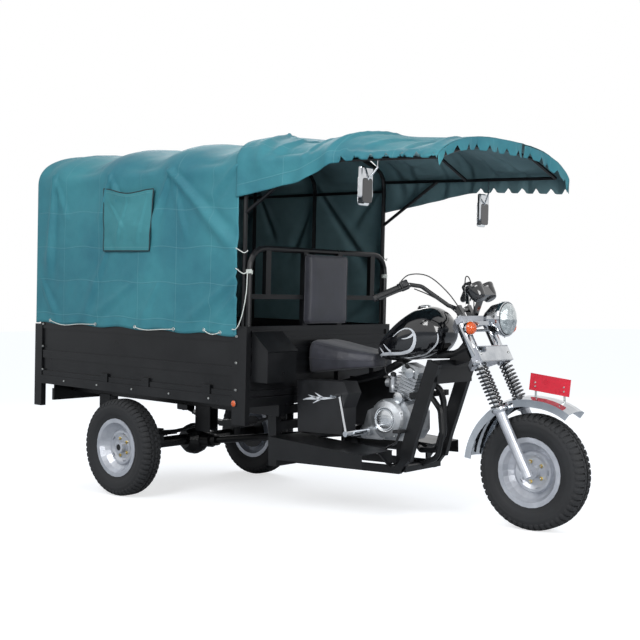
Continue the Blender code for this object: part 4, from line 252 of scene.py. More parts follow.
def coated_canvas(name="coated_polyester_canvas", colours=("#2F6C7A", "#41858E")):
    """PVC-coated polyester canvas: woven threads show through the coat, with packing creases and dust.

    The 1 mm threads are drawn 7 mm apart, so that they show."""
    look, tree, shader = start_finish(name, colours[0], 0.6)
    cut = add_node(tree, "ShaderNodeUVMap", uv_map="cut").outputs[0]
    cloth = vary(tree, shader, object_place(tree), 0.45, colours, (0.5, 0.65))
    thread = 7 * MM
    bands = 0.314 / thread
    warp = add_node(tree, "ShaderNodeTexWave", {"Vector": cut, "Scale": bands}, bands_direction="X")
    weft = add_node(tree, "ShaderNodeTexWave", {"Vector": cut, "Scale": bands}, bands_direction="Y")
    weave = add_node(tree, "ShaderNodeMath", {0: warp.outputs["Fac"], 1: weft.outputs["Fac"]}, operation="MULTIPLY")
    woven = add_node(tree, "ShaderNodeBump", {"Height": weave.outputs[0], "Distance": 0.6 * MM, "Strength": 0.45})
    place = add_node(tree, "ShaderNodeSeparateXYZ", {"Vector": cut})
    across = creases(tree, place.outputs["X"], (0.062, 0.27, 0.47, 0.68, 2.42, 2.62, 2.82, 3.03), 5 * MM)
    length = creases(tree, place.outputs["Y"], (0.33, 0.66, 1.02, 1.34, 1.62), 4 * MM)
    lines = add_node(tree, "ShaderNodeMath", {0: across, 1: length}, operation="ADD")
    worn = add_node(tree, "ShaderNodeMath", {0: lines.outputs[0], 1: 0.13}, operation="MULTIPLY")
    rubbed = add_node(tree, "ShaderNodeMixRGB", {"Fac": worn.outputs[0], "Color1": cloth.outputs[0],
                                                 "Color2": hex_linear("#86B3B6")})
    tree.links.new(rubbed.outputs[0], shader.inputs["Base Color"])
    folded = add_node(tree, "ShaderNodeBump", {"Height": lines.outputs[0], "Distance": 1.6 * MM, "Strength": 0.6,
                                               "Normal": woven.outputs[0]})
    tree.links.new(folded.outputs[0], shader.inputs["Normal"])
    shader.inputs["Specular IOR Level"].default_value = 0.25
    return look


def seat_vinyl():
    """Embossed vinyl on the saddle and pad: charcoal with a leather grain, a soft sheen on the bends.

    The 1.5 mm grain is drawn at 5 mm, so that it shows."""
    look, tree, shader = start_finish("embossed_charcoal_vinyl", "#2A2B33", 0.5)
    place = object_place(tree)
    vary(tree, shader, place, 0.15, ("#24252C", "#34353E"), (0.4, 0.58))
    cells = add_node(tree, "ShaderNodeTexVoronoi", {"Vector": place, "Scale": 1 / (5 * MM)})
    emboss(tree, shader, cells.outputs["Distance"], 0.4 * MM, 0.5)
    shader.inputs["Sheen Weight"].default_value = 0.2
    return look


def lens_glass_painted_reflections():
    """Fluted headlamp glass over its silvered bowl: pale, glossy, with upright flutes 6 mm apart; its colour wanders
    between mid grey and pale in 3 cm patches, painted reflections of the bowl.
    """
    look, tree, shader = start_finish("fluted_lamp_glass_painted_reflections", "#C9D2D4", 0.12, 0.55)
    place = object_place(tree)
    # painted reflections: mid grey and pale grey patches stand in for the bright and dark reflections in the bowl
    vary(tree, shader, place, 0.03, ("#7E898C", "#D6DDDE"), (0.06, 0.16))
    flutes = add_node(tree, "ShaderNodeTexWave", {"Vector": place, "Scale": 0.314 / (6 * MM)}, bands_direction="Y")
    emboss(tree, shader, flutes.outputs["Fac"], 1.2 * MM, 0.8)
    shader.inputs["Coat Weight"].default_value = 1.0
    return look


def lens(name, colour, deep):
    """Moulded acrylic lens: a glossy skin over a strong clear colour."""
    return worn_finish(name, colour, 0.14, 0.012, (colour, deep), (0.1, 0.18),
                       sockets={"Transmission Weight": 0.25, "IOR": 1.49, "Coat Weight": 0.6})


CANVAS = coated_canvas()
FLAP_CANVAS = coated_canvas("coated_flap_canvas", ("#34727A", "#468990"))
# The canvas's inner face: matt and greyer than the outside, a painted shade colour for the shaded inside of the roof
# and walls
CANVAS_SHADED_INSIDE = worn_finish("canvas_underside_painted_shade", "#5B787D", 0.9, 0.3, ("#4F6C72", "#668388"), (0.85, 0.95))
# Sprayed enamel on pressed and welded steel: deep gloss, faint orange peel, a little road dust
ENAMEL = worn_finish("sprayed_black_enamel", "#0C0D0F", 0.3, 0.22, ("#0A0B0D", "#131416"), (0.26, 0.42),
                     grained=(6 * MM, 0.15 * MM, 0.5), sockets={"Specular IOR Level": 0.35})
# Polished lacquer of the tank and the dial cups
LACQUER = worn_finish("polished_black_lacquer", "#0B0C0E", 0.12, 0.3, ("#0A0B0D", "#101216"), (0.08, 0.18),
                      sockets={"Coat Weight": 0.8})
# Wheel enamel: fine metal flake under a thin coat, dulled by brake dust
SILVER = worn_finish("silver_wheel_enamel", "#B6B9BF", 0.36, 0.09, ("#A9ACB3", "#C3C6CC"), (0.3, 0.46), 0.6,
                     (3 * MM, 0.08 * MM, 0.4))
# Chrome plate: mirror bright with faint wiping marks
CHROME = worn_finish("bright_chrome_plate", "#C4C7CB", 0.07, 0.08, ("#B4B8BD", "#D2D5D8"), (0.04, 0.13), 1.0)
# Die-cast aluminium: pale, slightly rough, with a fine sandy grain
CASTING = worn_finish("die_cast_aluminium", "#B9BCC0", 0.42, 0.05, ("#A3A7AC", "#C6C9CC"), (0.34, 0.52), 0.85,
                      (2.5 * MM, 0.25 * MM, 0.6))
# Buffed aluminium covers: brighter than the castings round them
BUFFED = worn_finish("buffed_aluminium", "#CFD2D5", 0.2, 0.06, ("#C4C8CC", "#DADCDE"), (0.14, 0.3), 0.95)
# Moulded tyre rubber: near black, matt, with grey dust in patches
RUBBER = worn_finish("moulded_tyre_rubber", "#1A1B1D", 0.8, 0.12, ("#151618", "#252628"), (0.7, 0.9),
                     grained=(4 * MM, 0.2 * MM, 0.5))
# Moulded ABS: satin, with a fine leather texture
PLASTIC = worn_finish("moulded_black_abs", "#17181A", 0.45, 0.1, ("#141517", "#1E1F22"), (0.38, 0.55),
                      grained=(3 * MM, 0.15 * MM, 0.5))
VINYL = seat_vinyl()
AMBER = lens("amber_acrylic_lens", "#F2691C", "#D9500C")
RED_LENS = lens("red_acrylic_lens", "#A80E18", "#7C0A12")
# Pressed dial glass
GLASS = worn_finish("pressed_clear_glass", "#F2F6F8", 0.03, 0.05, ("#EDF2F5", "#F8FAFB"), (0.02, 0.06),
                    sockets={"Transmission Weight": 0.92, "IOR": 1.5})
LENS_GLASS_PAINTED_REFLECTIONS = lens_glass_painted_reflections()
MIRROR = worn_finish("silvered_glass", "#C9D0D6", 0.03, 0.06, ("#C2CAD1", "#D2D8DC"), (0.02, 0.06), 1.0)
# Signal red enamel on the bare plate
RED = worn_finish("signal_red_enamel", "#C4142C", 0.28, 0.1, ("#B81228", "#D01A33"), (0.22, 0.36),
                  sockets={"Coat Weight": 0.4})
# Pale vinyl film of the flashes on the tank and the side covers
FILM = worn_finish("silver_white_vinyl_film", "#D5D8DC", 0.3, 0.08, ("#CDD1D6", "#E0E2E5"), (0.24, 0.36))
# Zinc-plated fasteners and rods: pale and slightly blue
ZINC = worn_finish("bright_zinc_plate", "#BFC2C2", 0.3, 0.02, ("#B0B3B2", "#CCCECB"), (0.24, 0.4), 1.0)
YELLOW_ZINC = worn_finish("yellow_passivated_zinc", "#C6A64F", 0.35, 0.01, ("#B89643", "#D2B768"), (0.28, 0.42), 0.9)
# Twisted nylon cord of the lashings
ROPE = worn_finish("twisted_nylon_cord", "#C9CEC8", 0.7, 0.008, ("#B4BAB4", "#DCDFD9"), (0.6, 0.8))
# Woven binding tape on the flap's edge: dark green-black with a ribbed face
BINDING = worn_finish("ribbed_binding_tape", "#1B2A2E", 0.8, 0.03, ("#16242A", "#25373B"), (0.7, 0.88),
                      grained=(4 * MM, 0.3 * MM, 0.6))
# Smooth rubber of hoses, cable sleeves and grips
HOSE = worn_finish("smooth_black_rubber", "#141517", 0.55, 0.05, ("#111214", "#1C1D1F"), (0.48, 0.65))

NODE_FINISHES = {
    ENAMEL: ("tail_lamp_bar", "chassis_ladder", "bed_frame", "side_panel_right", "side_panel_left", "headboard",
             "tailgate",
             "bow_frame", "guard_loop", "toolbox", "toolbox_lid", "front_frame", "running_board_right",
             "running_board_left", "rear_axle", "leaf_spring_right", "leaf_spring_left", "prop_shaft",
             "exhaust", "fork_spring_right", "fork_spring_left"),
    LACQUER: ("fuel_tank", "handlebar", "gauge_cluster"),
    PLASTIC: ("side_cover_right", "side_cover_left"),
    SILVER: ("front_rim", "rear_right_rim", "rear_left_rim", "fork"),
    CHROME: ("headlight", "kick_starter", "mirror_right", "mirror_left", "front_fender"),
    CASTING: ("engine_crankcase", "engine_cylinder", "carburettor"),
    RUBBER: ("front_tyre", "rear_right_tyre", "rear_left_tyre"),
    VINYL: ("seat", "backrest_pad"),
    AMBER: ("indicator_bar",),
    RED: ("front_plate",),
    CANVAS: ("tarp_cover", "canopy_cover"),
}


def dress_nodes():
    """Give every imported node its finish."""
    for look, names in NODE_FINISHES.items():
        for name in names:
            for place in nodes[name].material_slots:
                place.material = look


dress_nodes()

# Cloth, in the bed's pitched frame

BOWS = (-0.640, -0.100, 0.430, 0.985)
TARP_REAR = -0.8305
TARP_FRONT = 0.962
TARP_HALF = 0.6305
TARP_HEM = 0.992
TARP_EAVE = 1.845
TARP_CROWN = 2.0800
CORNER = 0.033
CORNER_LAP = 0.040
ROOF_SAG = 0.042
CANOPY_EAVE = 1.8985
CANOPY_REAR = 0.967
CANOPY_FRONT = 2.218
CLOTH = 1.4 * MM


def smooth(value, low, high):
    """0 below low, 1 above high and a smooth rise between them."""
    t = min(1.0, max(0.0, (value - low) / (high - low)))
    return t * t * (3 - 2 * t)


def ripple(x, y, z, size, seed):
    """Seeded wrinkle height from -1 to 1 at a real size."""
    return noise.fractal(Vector((x / size + seed, y / size, z / size)), 1.0, 2.0, 3)


def arch(half, eave, crown, full=0.8, steps=72):
    """The roof's line from the right eave over the crown to the left eave, as (y, z)."""
    line = []
    for k in range(steps + 1):
        turn = math.pi / 2 * k / steps
        line.append((half * math.sin(turn) ** 0.78, eave + (crown - eave) * max(0.0, math.cos(turn)) ** full))
    return [(-y, z) for y, z in reversed(line)] + line[1:]


def spaced(line, count):
    """Evenly spaced points along a line of (y, z), each with its distance along it and its outward normal."""
    reach = [0.0]
    for (y0, z0), (y1, z1) in zip(line, line[1:]):
        reach.append(reach[-1] + math.hypot(y1 - y0, z1 - z0))
    made = []
    k = 0
    for i in range(count + 1):
        s = reach[-1] * i / count
        while k < len(line) - 2 and reach[k + 1] < s:
            k += 1
        (y0, z0), (y1, z1) = line[k], line[k + 1]
        span = reach[k + 1] - reach[k] or 1.0
        t = (s - reach[k]) / span
        made.append((y0 + (y1 - y0) * t, z0 + (z1 - z0) * t, s, -(z1 - z0) / span, (y1 - y0) / span))
    return made


def cloth_piece(name, rows, cuts, frame_matrix, looks=None, thickness=CLOTH):
    """A cloth sheet from a grid of points; cuts are the places of the same points in the flat cut, in metres."""
    bm = bmesh.new()
    layer = bm.loops.layers.uv.new("cut")
    grid = [[bm.verts.new(point) for point in row] for row in rows]
    for i in range(len(grid) - 1):
        for j in range(len(grid[i]) - 1):
            corners = ((i, j), (i + 1, j), (i + 1, j + 1), (i, j + 1))
            face = bm.faces.new([grid[a][b] for a, b in corners])
            face.smooth = True
            for loop, (a, b) in zip(face.loops, corners):
                loop[layer].uv = cuts[a][b]
    bm.transform(frame_matrix)
    return thicken(name, bm, looks or (CANVAS, CANVAS_SHADED_INSIDE), thickness)


def thicken(name, bm, looks, thickness):
    """Give the sheet its thickness, with the outer look outside and at the rim and the other look inside."""
    mesh = bpy.data.meshes.new(name)
    bm.to_mesh(mesh)
    bm.free()
    piece = bpy.data.objects.new(name, mesh)
    bpy.context.collection.objects.link(piece)
    for look in looks:
        mesh.materials.append(look)
    bpy.ops.object.select_all(action="DESELECT")
    piece.select_set(True)
    bpy.context.view_layer.objects.active = piece
    wall = piece.modifiers.new("wall", "SOLIDIFY")
    wall.thickness = thickness
    wall.offset = 0.0
    wall.material_offset = 1
    bpy.ops.object.modifier_apply(modifier="wall")
    return piece


# Folds on the tarpaulin's right side: from (x, z) to (x, z), width and height
RIGHT_FOLDS = (
    ((0.430, 1.880), (0.930, 1.450), 0.050, 0.016), ((0.430, 1.880), (0.265, 1.560), 0.035, 0.011),
    ((0.430, 1.880), (0.560, 1.500), 0.030, 0.006), ((-0.100, 1.880), (-0.010, 1.700), 0.030, 0.011),
    ((-0.100, 1.880), (-0.190, 1.600), 0.035, 0.010), ((-0.640, 1.900), (-0.690, 1.300), 0.045, 0.012),
    ((-0.640, 1.900), (-0.520, 1.640), 0.030, 0.007), ((0.960, 1.300), (0.560, 1.030), 0.045, 0.009),
    ((0.955, 1.200), (0.740, 1.000), 0.035, 0.009), ((0.100, 1.240), (-0.300, 1.020), 0.050, 0.006),
    ((-0.780, 1.300), (-0.600, 1.030), 0.035, 0.009), ((0.960, 1.900), (0.700, 1.700), 0.040, 0.009),
    ((0.330, 1.250), (0.180, 1.010), 0.040, 0.005), ((-0.130, 1.430), (-0.330, 1.060), 0.050, 0.005))
LEFT_FOLDS = (
    ((0.430, 1.880), (0.900, 1.300), 0.050, 0.014), ((0.430, 1.880), (0.200, 1.450), 0.040, 0.011),
    ((-0.100, 1.880), (0.060, 1.560), 0.035, 0.010), ((-0.100, 1.880), (-0.300, 1.450), 0.040, 0.010),
    ((-0.640, 1.900), (-0.700, 1.250), 0.045, 0.012), ((0.955, 1.260), (0.600, 1.020), 0.040, 0.009),
    ((-0.780, 1.320), (-0.560, 1.030), 0.035, 0.008), ((0.960, 1.900), (0.720, 1.640), 0.040, 0.009))


def fold_height(x, z, folds):
    """How far the side folds push the cloth out at a place."""
    total = 0.0
    for (x0, z0), (x1, z1), width, height in folds:
        dx, dz = x1 - x0, z1 - z0
        span = dx * dx + dz * dz
        t = ((x - x0) * dx + (z - z0) * dz) / span
        if -0.15 < t < 1.15:
            off = ((x - x0) * dz - (z - z0) * dx) / math.sqrt(span)
            flare = width * (0.28 + 0.55 * max(0.0, t))
            fade = smooth(t, -0.15, 0.05) * (1 - smooth(t, 0.75, 1.15))
            hollow = 0.45 * math.exp(-((off + flare * 1.6) / flare) ** 2)
            total += height * fade * (math.exp(-(off / flare) ** 2) - hollow)
    return total


def bay_sag(x, bows):
    """0 at each bow and 1 half way between two."""
    for start, end in zip(bows, bows[1:]):
        if start <= x <= end:
            return math.sin(math.pi * (x - start) / (end - start)) ** 2
    return 0.0


def tarp_shift(x, y, z, width_share):
    """How far the cloth stands out from its plain shape at a place, along its normal."""
    shoulder = smooth(z, 1.868, 1.94)
    crown = 1 - 0.35 * smooth(1 - abs(width_share), 0.2, 0.9)
    shift = -ROOF_SAG * bay_sag(x, (-1.05,) + BOWS) * shoulder * crown
    side = 1 - smooth(z, 1.80, 1.93)
    folds = RIGHT_FOLDS if y < 0 else LEFT_FOLDS
    shift += 1.5 * fold_height(x, z, folds) * (1 - smooth(z, 1.88, 1.96))
    shift += 0.004 * ripple(x, y, z, 0.30, 3.1) + 0.0022 * ripple(x, y, z, 0.09, 7.7)
    shift += 0.005 * max(0.0, ripple(x, y, z, 0.16, 5.2)) ** 3
    pocket = bay_sag(x, (-1.05,) + BOWS) * smooth(z, 1.60, 1.80) * side
    shift -= 0.012 * pocket
    held = 1 - smooth(z, TARP_HEM, 1.09)
    shift = shift * (1 - 0.75 * held) + 0.003 * held * math.sin(x * 38)
    free = smooth(bay_sag(x, (-1.05,) + BOWS), 0.02, 0.6)
    floor = -0.0008 - 0.05 * free * shoulder - 0.012 * (1 - shoulder)
    return max(shift, floor)


def tarp_hem(x):
    """The lower edge: drawn up a little at each eyelet and hanging between them."""
    return TARP_HEM + 0.006 * math.cos(x * 17.4) - 0.004 * smooth(x, -0.2, 0.9)


def make_tarp():
    """The tarpaulin: one sheet over the bows, tied at its hem, that turns the rear corners to the curtain."""
    count, rows, cuts = 190, [], []
    stations = [(TARP_REAR, CORNER_LAP), (TARP_REAR, CORNER)]
    for k in range(1, 5):
        turn = math.pi / 2 * k / 5
        stations.append((TARP_REAR + CORNER * (1 - math.cos(turn)), CORNER * (1 - math.sin(turn))))
    start = TARP_REAR + CORNER
    steps = 112
    stations += [(start + (TARP_FRONT - start) * k / steps, 0.0) for k in range(steps + 1)]
    run = 0.0
    last = stations[0]
    for x, inset in stations:
        run += math.hypot(x - last[0], inset - last[1])
        last = (x, inset)
        half = TARP_HALF - inset
        line = [(-half, tarp_hem(x)), *arch(half, TARP_EAVE, TARP_CROWN - inset), (half, tarp_hem(-x))]
        row, cut = [], []
        edge = smooth(x, TARP_REAR + CORNER, TARP_REAR + 0.12)
        for y, z, s, ny, nz in spaced(line, count):
            shift = tarp_shift(x, y, z, y / TARP_HALF) * edge
            row.append((x, y + ny * shift, z + nz * shift))
            cut.append((s, run))
        rows.append(row)
        cuts.append(cut)
    tarp = cloth_piece("tarpaulin", rows, cuts, BED)
    return tarp, cuts[-1][-1][0], run


def make_curtain():
    """The rear curtain, sewn inside the tarpaulin's lap and hanging to just above the tailgate."""
    half, columns, steps = 0.600, 84, 70
    top = arch(half, TARP_EAVE, TARP_CROWN - CORNER)
    rows, cuts = [], []
    for i in range(columns + 1):
        y = -half + 2 * half * i / columns
        k = max(0, min(len(top) - 2, sum(1 for p in top if p[0] <= y) - 1))
        (y0, z0), (y1, z1) = top[k], top[k + 1]
        high = z0 + (z1 - z0) * (y - y0) / (y1 - y0) if y1 > y0 else z0
        low = 1.046 + 0.003 * (1 + math.cos(y * 21))
        row, cut = [], []
        for j in range(steps + 1):
            z = low + (high - low) * j / steps
            free = smooth(half - abs(y), 0.0, 0.12) * smooth(high - z, 0.0, 0.10)
            fold = 0.006 * math.sin(y * 19 + 1.5 * math.sin(z * 3)) * (1.2 - 0.9 * (z - low) / (high - low))
            billow = 0.010 * math.cos(y * 2.2) + fold + 0.004 * ripple(y, 0.4, z, 0.18, 5.5)
            row.append((-0.8284 - billow * free * 0.6, y, z))
            cut.append((y + half, z - low))
        rows.append(row)
        cuts.append(cut)
    return cloth_piece("rear_curtain", rows, cuts, BED, (CANVAS_SHADED_INSIDE, CANVAS)), 2 * half, cuts[columns // 2][-1][1]


FLAP_CORNERS = ((-0.137, 1.440), (0.265, 1.439), (0.298, 1.789), (-0.146, 1.806))


def flap_point(u, v):
    """A place on the window flap, u along it and v up it."""
    (x0, z0), (x1, z1), (x2, z2), (x3, z3) = FLAP_CORNERS
    x = (x0 + (x1 - x0) * u) * (1 - v) + (x3 + (x2 - x3) * u) * v
    z = (z0 + (z1 - z0) * u) * (1 - v) + (z3 + (z2 - z3) * u) * v
    droop = math.sin(math.pi * u) ** 2 * smooth(v, 0.55, 1.0)
    z -= 0.026 * droop
    out = 0.011 + 0.010 * math.sin(math.pi * u) * math.sin(math.pi * min(1.0, v * 1.3)) ** 2
    out += 0.010 * droop * smooth(v, 0.8, 1.0) + 0.004 * ripple(x, 0.2, z, 0.10, 9.2)
    out += fold_height(x, z, ((( 0.070, 1.760), (-0.020, 1.480), 0.020, 0.006),
                              ((0.240, 1.760), (0.150, 1.470), 0.020, 0.005),
                              ((-0.110, 1.740), (0.050, 1.560), 0.018, 0.006)))
    return (x, -(TARP_HALF + max(0.005, out)), z)


def make_flap():
    """The rolled-down window flap on the right side, hemmed all round."""
    count = 40
    rows = [[flap_point(i / count, j / count) for j in range(count + 1)] for i in range(count + 1)]
    cuts = [[(1.0 + 0.42 * i / count, 1.0 + 0.36 * j / count) for j in range(count + 1)] for i in range(count + 1)]
    flap = cloth_piece("window_flap", rows, cuts, BED, (FLAP_CANVAS, CANVAS_SHADED_INSIDE))
    bottom = [flap_point(i / count, 0.0) for i in range(count + 1)]
    front = [flap_point(1.0, j / count) for j in range(count + 1)]
    top = [flap_point(i / count, 1.0) for i in range(count + 1)]
    rear = [flap_point(0.0, j / count) for j in range(count + 1)]
    edge = tube("flap_piping", bottom[:-1] + front[:-1] + list(reversed(top))[:-1] + list(reversed(rear)), 3.2 * MM,
                BINDING, BED)
    return flap, edge


def tube(name, points, radius, look, frame_matrix=None, smooth_curve=False):
    """A round cord, wire or hose along points, as a mesh."""
    data = bpy.data.curves.new(name, "CURVE")
    data.dimensions = "3D"
    data.bevel_depth = radius
    data.bevel_resolution = 3
    data.use_fill_caps = True
    kind = "NURBS" if smooth_curve else "POLY"
    line = data.splines.new(kind)
    line.points.add(len(points) - 1)
    for slot, place in zip(line.points, points):
        slot.co = (*place, 1.0)
    if smooth_curve:
        line.order_u = 4
        line.use_endpoint_u = True
        line.resolution_u = 6
    piece = bpy.data.objects.new(name, data)
    bpy.context.collection.objects.link(piece)
    bpy.ops.object.select_all(action="DESELECT")
    piece.select_set(True)
    bpy.context.view_layer.objects.active = piece
    bpy.ops.object.convert(target="MESH")
    piece = bpy.context.object
    if frame_matrix:
        piece.data.transform(frame_matrix)
    piece.data.materials.clear()
    piece.data.materials.append(look)
    bpy.ops.object.shade_smooth()
    return piece


# Rider's canopy

TOOTH_PITCH = 0.090
TOOTH_HEIGHT = 0.032
TOOTH_START = 1.590
RIGHT_SKIRT = ((0.945, 1.720), (1.386, 1.784), (1.590, 1.864), (1.760, 1.872), (2.060, 1.868), (2.230, 1.852))
LEFT_SKIRT = ((0.945, 1.715), (1.228, 1.755), (1.571, 1.815), (1.760, 1.812), (2.160, 1.790), (2.230, 1.785))
CANOPY_FOLDS = (
    ((1.640, 0.52), (1.560, 0.02), 0.040, 0.015), ((1.930, 0.50), (1.960, 0.02), 0.040, 0.012),
    ((2.080, 0.55), (2.150, 0.10), 0.030, 0.011), ((1.240, 0.50), (1.150, 0.10), 0.050, 0.013),
    ((1.000, 0.62), (1.120, 0.10), 0.050, 0.014), ((1.800, 0.45), (1.740, 0.10), 0.030, 0.008),
    ((0.990, 0.60), (1.300, 0.34), 0.040, 0.010), ((1.450, 0.50), (1.400, 0.08), 0.030, 0.008))


def along(line, x):
    """The height of a line of (x, z) at x."""
    for (x0, z0), (x1, z1) in zip(line, line[1:]):
        if x <= x1:
            return z0 + (z1 - z0) * (x - x0) / (x1 - x0)
    return line[-1][1]


def tooth(place):
    """How far the cut edge is notched at a place: flat teeth with V notches between them."""
    phase = (place / TOOTH_PITCH) % 1.0
    return TOOTH_HEIGHT * max(0.0, 1 - abs(phase - 0.75) / 0.25) if phase > 0.5 else 0.0


def canopy_drop(x):
    """How much the canopy's roof has fallen at x."""
    return 0.075 * max(0.0, (x - CANOPY_REAR) / (CANOPY_FRONT - CANOPY_REAR)) ** 2


def canopy_fullness(x):
    """The roof's arch is full over the load bed and leaner towards its front bow."""
    return 0.8 + 0.6 * smooth(x, 1.15, CANOPY_FRONT)


def make_canopy():
    """The rider's canopy: one sheet over its bows with cut teeth along the front part of its sides."""
    count, steps, rows, cuts = 180, 113, [], []
    start = 0.945
    for k in range(steps + 1):
        x = start + (CANOPY_FRONT - start) * k / steps
        drop = canopy_drop(x)
        lap = 0.004 * (1 - smooth(x, 0.975, 1.02))
        notch = tooth(x - TOOTH_START) if x > TOOTH_START else 0.0
        half = TARP_HALF + lap
        top = arch(half, CANOPY_EAVE - drop / 2, TARP_CROWN - drop + lap, canopy_fullness(x))
        line = [(-half, along(RIGHT_SKIRT, x) + notch), *top, (half, along(LEFT_SKIRT, x) + notch)]
        places = spaced(line, count)
        total = places[-1][2]
        row, cut = [], []
        for y, z, s, ny, nz in places:
            sag = bay_sag(x, (0.985, 1.590, 2.230)) * smooth(z, 1.90, 1.96)
            near = min(s, total - s)
            shift = 0.004 * ripple(x, y, z, 0.22, 1.3) + 0.002 * ripple(x, y, z, 0.07, 4.4)
            off_crown = smooth(abs(y), 0.03, 0.22)
            shift += fold_height(x, s if y < 0 else total - s + 0.1, CANOPY_FOLDS) - (0.008 + 0.034 * off_crown) * sag
            flutter = 0.005 * math.sin(x * 41 + (0 if y < 0 else 2)) * (1 - smooth(near, 0.0, 0.10))
            lowest = 0.001 + 0.045 * smooth(sag, 0.02, 0.5) * off_crown + 0.008 * (1 - smooth(z, 1.84, 1.90))
            shift = max(shift, -lowest)
            shift += flutter * smooth(x, 1.05, 1.3)
            row.append((x, y + ny * shift, z + nz * shift))
            cut.append((s, x - start))
        rows.append(row)
        cuts.append(cut)
    return cloth_piece("rider_canopy", rows, cuts, BED), cuts[0][-1][0], CANOPY_FRONT - start


def front_edge(y):
    """The height of the canopy's front edge at y."""
    drop = canopy_drop(CANOPY_FRONT)
    top = arch(TARP_HALF, CANOPY_EAVE - drop / 2, TARP_CROWN - drop, canopy_fullness(CANOPY_FRONT))
    for (y0, z0), (y1, z1) in zip(top, top[1:]):
        if y <= y1:
            return z0 + (z1 - z0) * (y - y0) / (y1 - y0)
    return top[-1][1]


def make_valance(name, start, end, slack, depth):
    """A toothed strip sewn along the canopy's front edge between two places across it."""
    columns, steps = max(8, round((end - start) / (TOOTH_PITCH / 8))), 10
    rows, cuts = [], []
    for i in range(columns + 1):
        y = start + (end - start) * i / columns
        top = front_edge(y) - 0.0015 - slack(y)
        low = top - depth(y) + tooth(y - start)
        row, cut = [], []
        for j in range(steps + 1):
            z = top + (low - top) * j / steps
            swing = 0.010 * math.sin(y * 27) + 0.004 * ripple(y, 0.1, z, 0.08, 6.1)
            row.append((CANOPY_FRONT + 0.0005 + swing * (j / steps) ** 1.5, y, z))
            cut.append((y - start, top - z))
        rows.append(row)
        cuts.append(cut)
    return cloth_piece(name, rows, cuts, BED, (CANVAS_SHADED_INSIDE, CANVAS)), end - start, 0.085


def declare_cloth():
    """Make the cloth pieces, tie them to the bed and hide the plain covers they replace."""
    tarp, width, length = make_tarp()
    curtain, curtain_width, curtain_height = make_curtain()
    flap, piping = make_flap()
    canopy, canopy_width, canopy_length = make_canopy()
    near, near_length, depth = make_valance("front_valance_right", -0.625, 0.118, lambda y: 0.0,
                                            lambda y: 0.050 + 0.020 * smooth(y, -0.55, -0.1))
    far, far_length, depth = make_valance("front_valance_left", 0.146, 0.625,
                                          lambda y: 0.004 * (1 - smooth(y, 0.14, 0.42)),
                                          lambda y: 0.060 + 0.012 * smooth(y, 0.2, 0.5))
    for piece in (tarp, curtain, flap, piping, canopy, near, far):
        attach(piece, "chassis")
    for piece in (tarp, curtain, flap, piping):
        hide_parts("tarp_cover")
    for piece in (canopy, near, far):
        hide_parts("canopy_cover")


declare_cloth()
# Shaping helpers


def only(piece):
    """Make one piece the selected and active one."""
    bpy.ops.object.select_all(action="DESELECT")
    piece.select_set(True)
    bpy.context.view_layer.objects.active = piece


def settle(piece, name, look, matrix=None, angle=40):
    """Name a finished piece, put its place in its mesh, give it its finish and shade it."""
    piece.name = name
    piece.data.name = name
    only(piece)
    bpy.ops.object.transform_apply(location=True, rotation=True, scale=True)
    if matrix:
        piece.data.transform(matrix)
    piece.data.materials.clear()
    piece.data.materials.append(look)
    bpy.ops.object.shade_smooth_by_angle(angle=math.radians(angle))
    return piece


def turned_form(name, profile, look, matrix, sides=40, angle=35):
    """A turned piece: a disc raised and stepped along its profile of (radius, height), as on a lathe."""
    bpy.ops.object.select_all(action="DESELECT")
    radius, height = profile[0]
    bpy.ops.mesh.primitive_circle_add(vertices=sides, radius=radius, fill_type="NGON", location=(0, 0, 0))
    piece = bpy.context.object
    piece.data.transform(Matrix.Translation((0, 0, height)))
    bpy.ops.object.mode_set(mode="EDIT")
    for wide, high in profile[1:]:
        bpy.ops.mesh.extrude_region_move(TRANSFORM_OT_translate={"value": (0, 0, high - height)})
        bpy.ops.transform.resize(value=(wide / radius, wide / radius, 1), center_override=(0, 0, high))
        radius, height = wide, high
    bpy.ops.mesh.select_all(action="SELECT")
    bpy.ops.mesh.normals_make_consistent(inside=False)
    bpy.ops.object.mode_set(mode="OBJECT")
    return settle(piece, name, look, matrix, angle)


def blocked(name, low, high, look, matrix, edge=0.001, segments=2):
    """A block at its place with its edges broken by a small round."""
    bpy.ops.object.select_all(action="DESELECT")
    bpy.ops.mesh.primitive_cube_add(size=1, location=[(a + b) / 2 for a, b in zip(low, high)],
                                    scale=[b - a for a, b in zip(low, high)])
    piece = bpy.context.object
    bpy.ops.object.transform_apply(location=False, rotation=False, scale=True)
    bpy.ops.object.mode_set(mode="EDIT")
    bpy.ops.mesh.select_all(action="SELECT")
    bpy.ops.mesh.bevel(offset=edge, segments=segments, affect="EDGES")
    bpy.ops.object.mode_set(mode="OBJECT")
    return settle(piece, name, look, matrix)


def copied(piece, name, matrix):
    """A second piece with its own mesh, at another place."""
    other = piece.copy()
    other.data = piece.data.copy()
    other.name = name
    other.data.name = name
    bpy.context.collection.objects.link(other)
    other.data.transform(matrix)
    if matrix.determinant() < 0:
        other.data.flip_normals()
    return other


def joined(name, pieces):
    """Join finished pieces into one."""
    bpy.ops.object.select_all(action="DESELECT")
    for piece in pieces:
        piece.select_set(True)
    bpy.context.view_layer.objects.active = pieces[0]
    bpy.ops.object.join()
    pieces[0].name = name
    pieces[0].data.name = name
    return pieces[0]


def belongs(pieces, body):
    """Carry pieces on a body."""
    for piece in pieces:
        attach(piece, body)


ACROSS = Matrix.Rotation(math.radians(-90), 4, "X")      # turns a piece's own Z to the left, +Y
AHEAD = Matrix.Rotation(math.radians(90), 4, "Y")        # turns a piece's own Z forwards, +X

# Rider's saddle and backrest


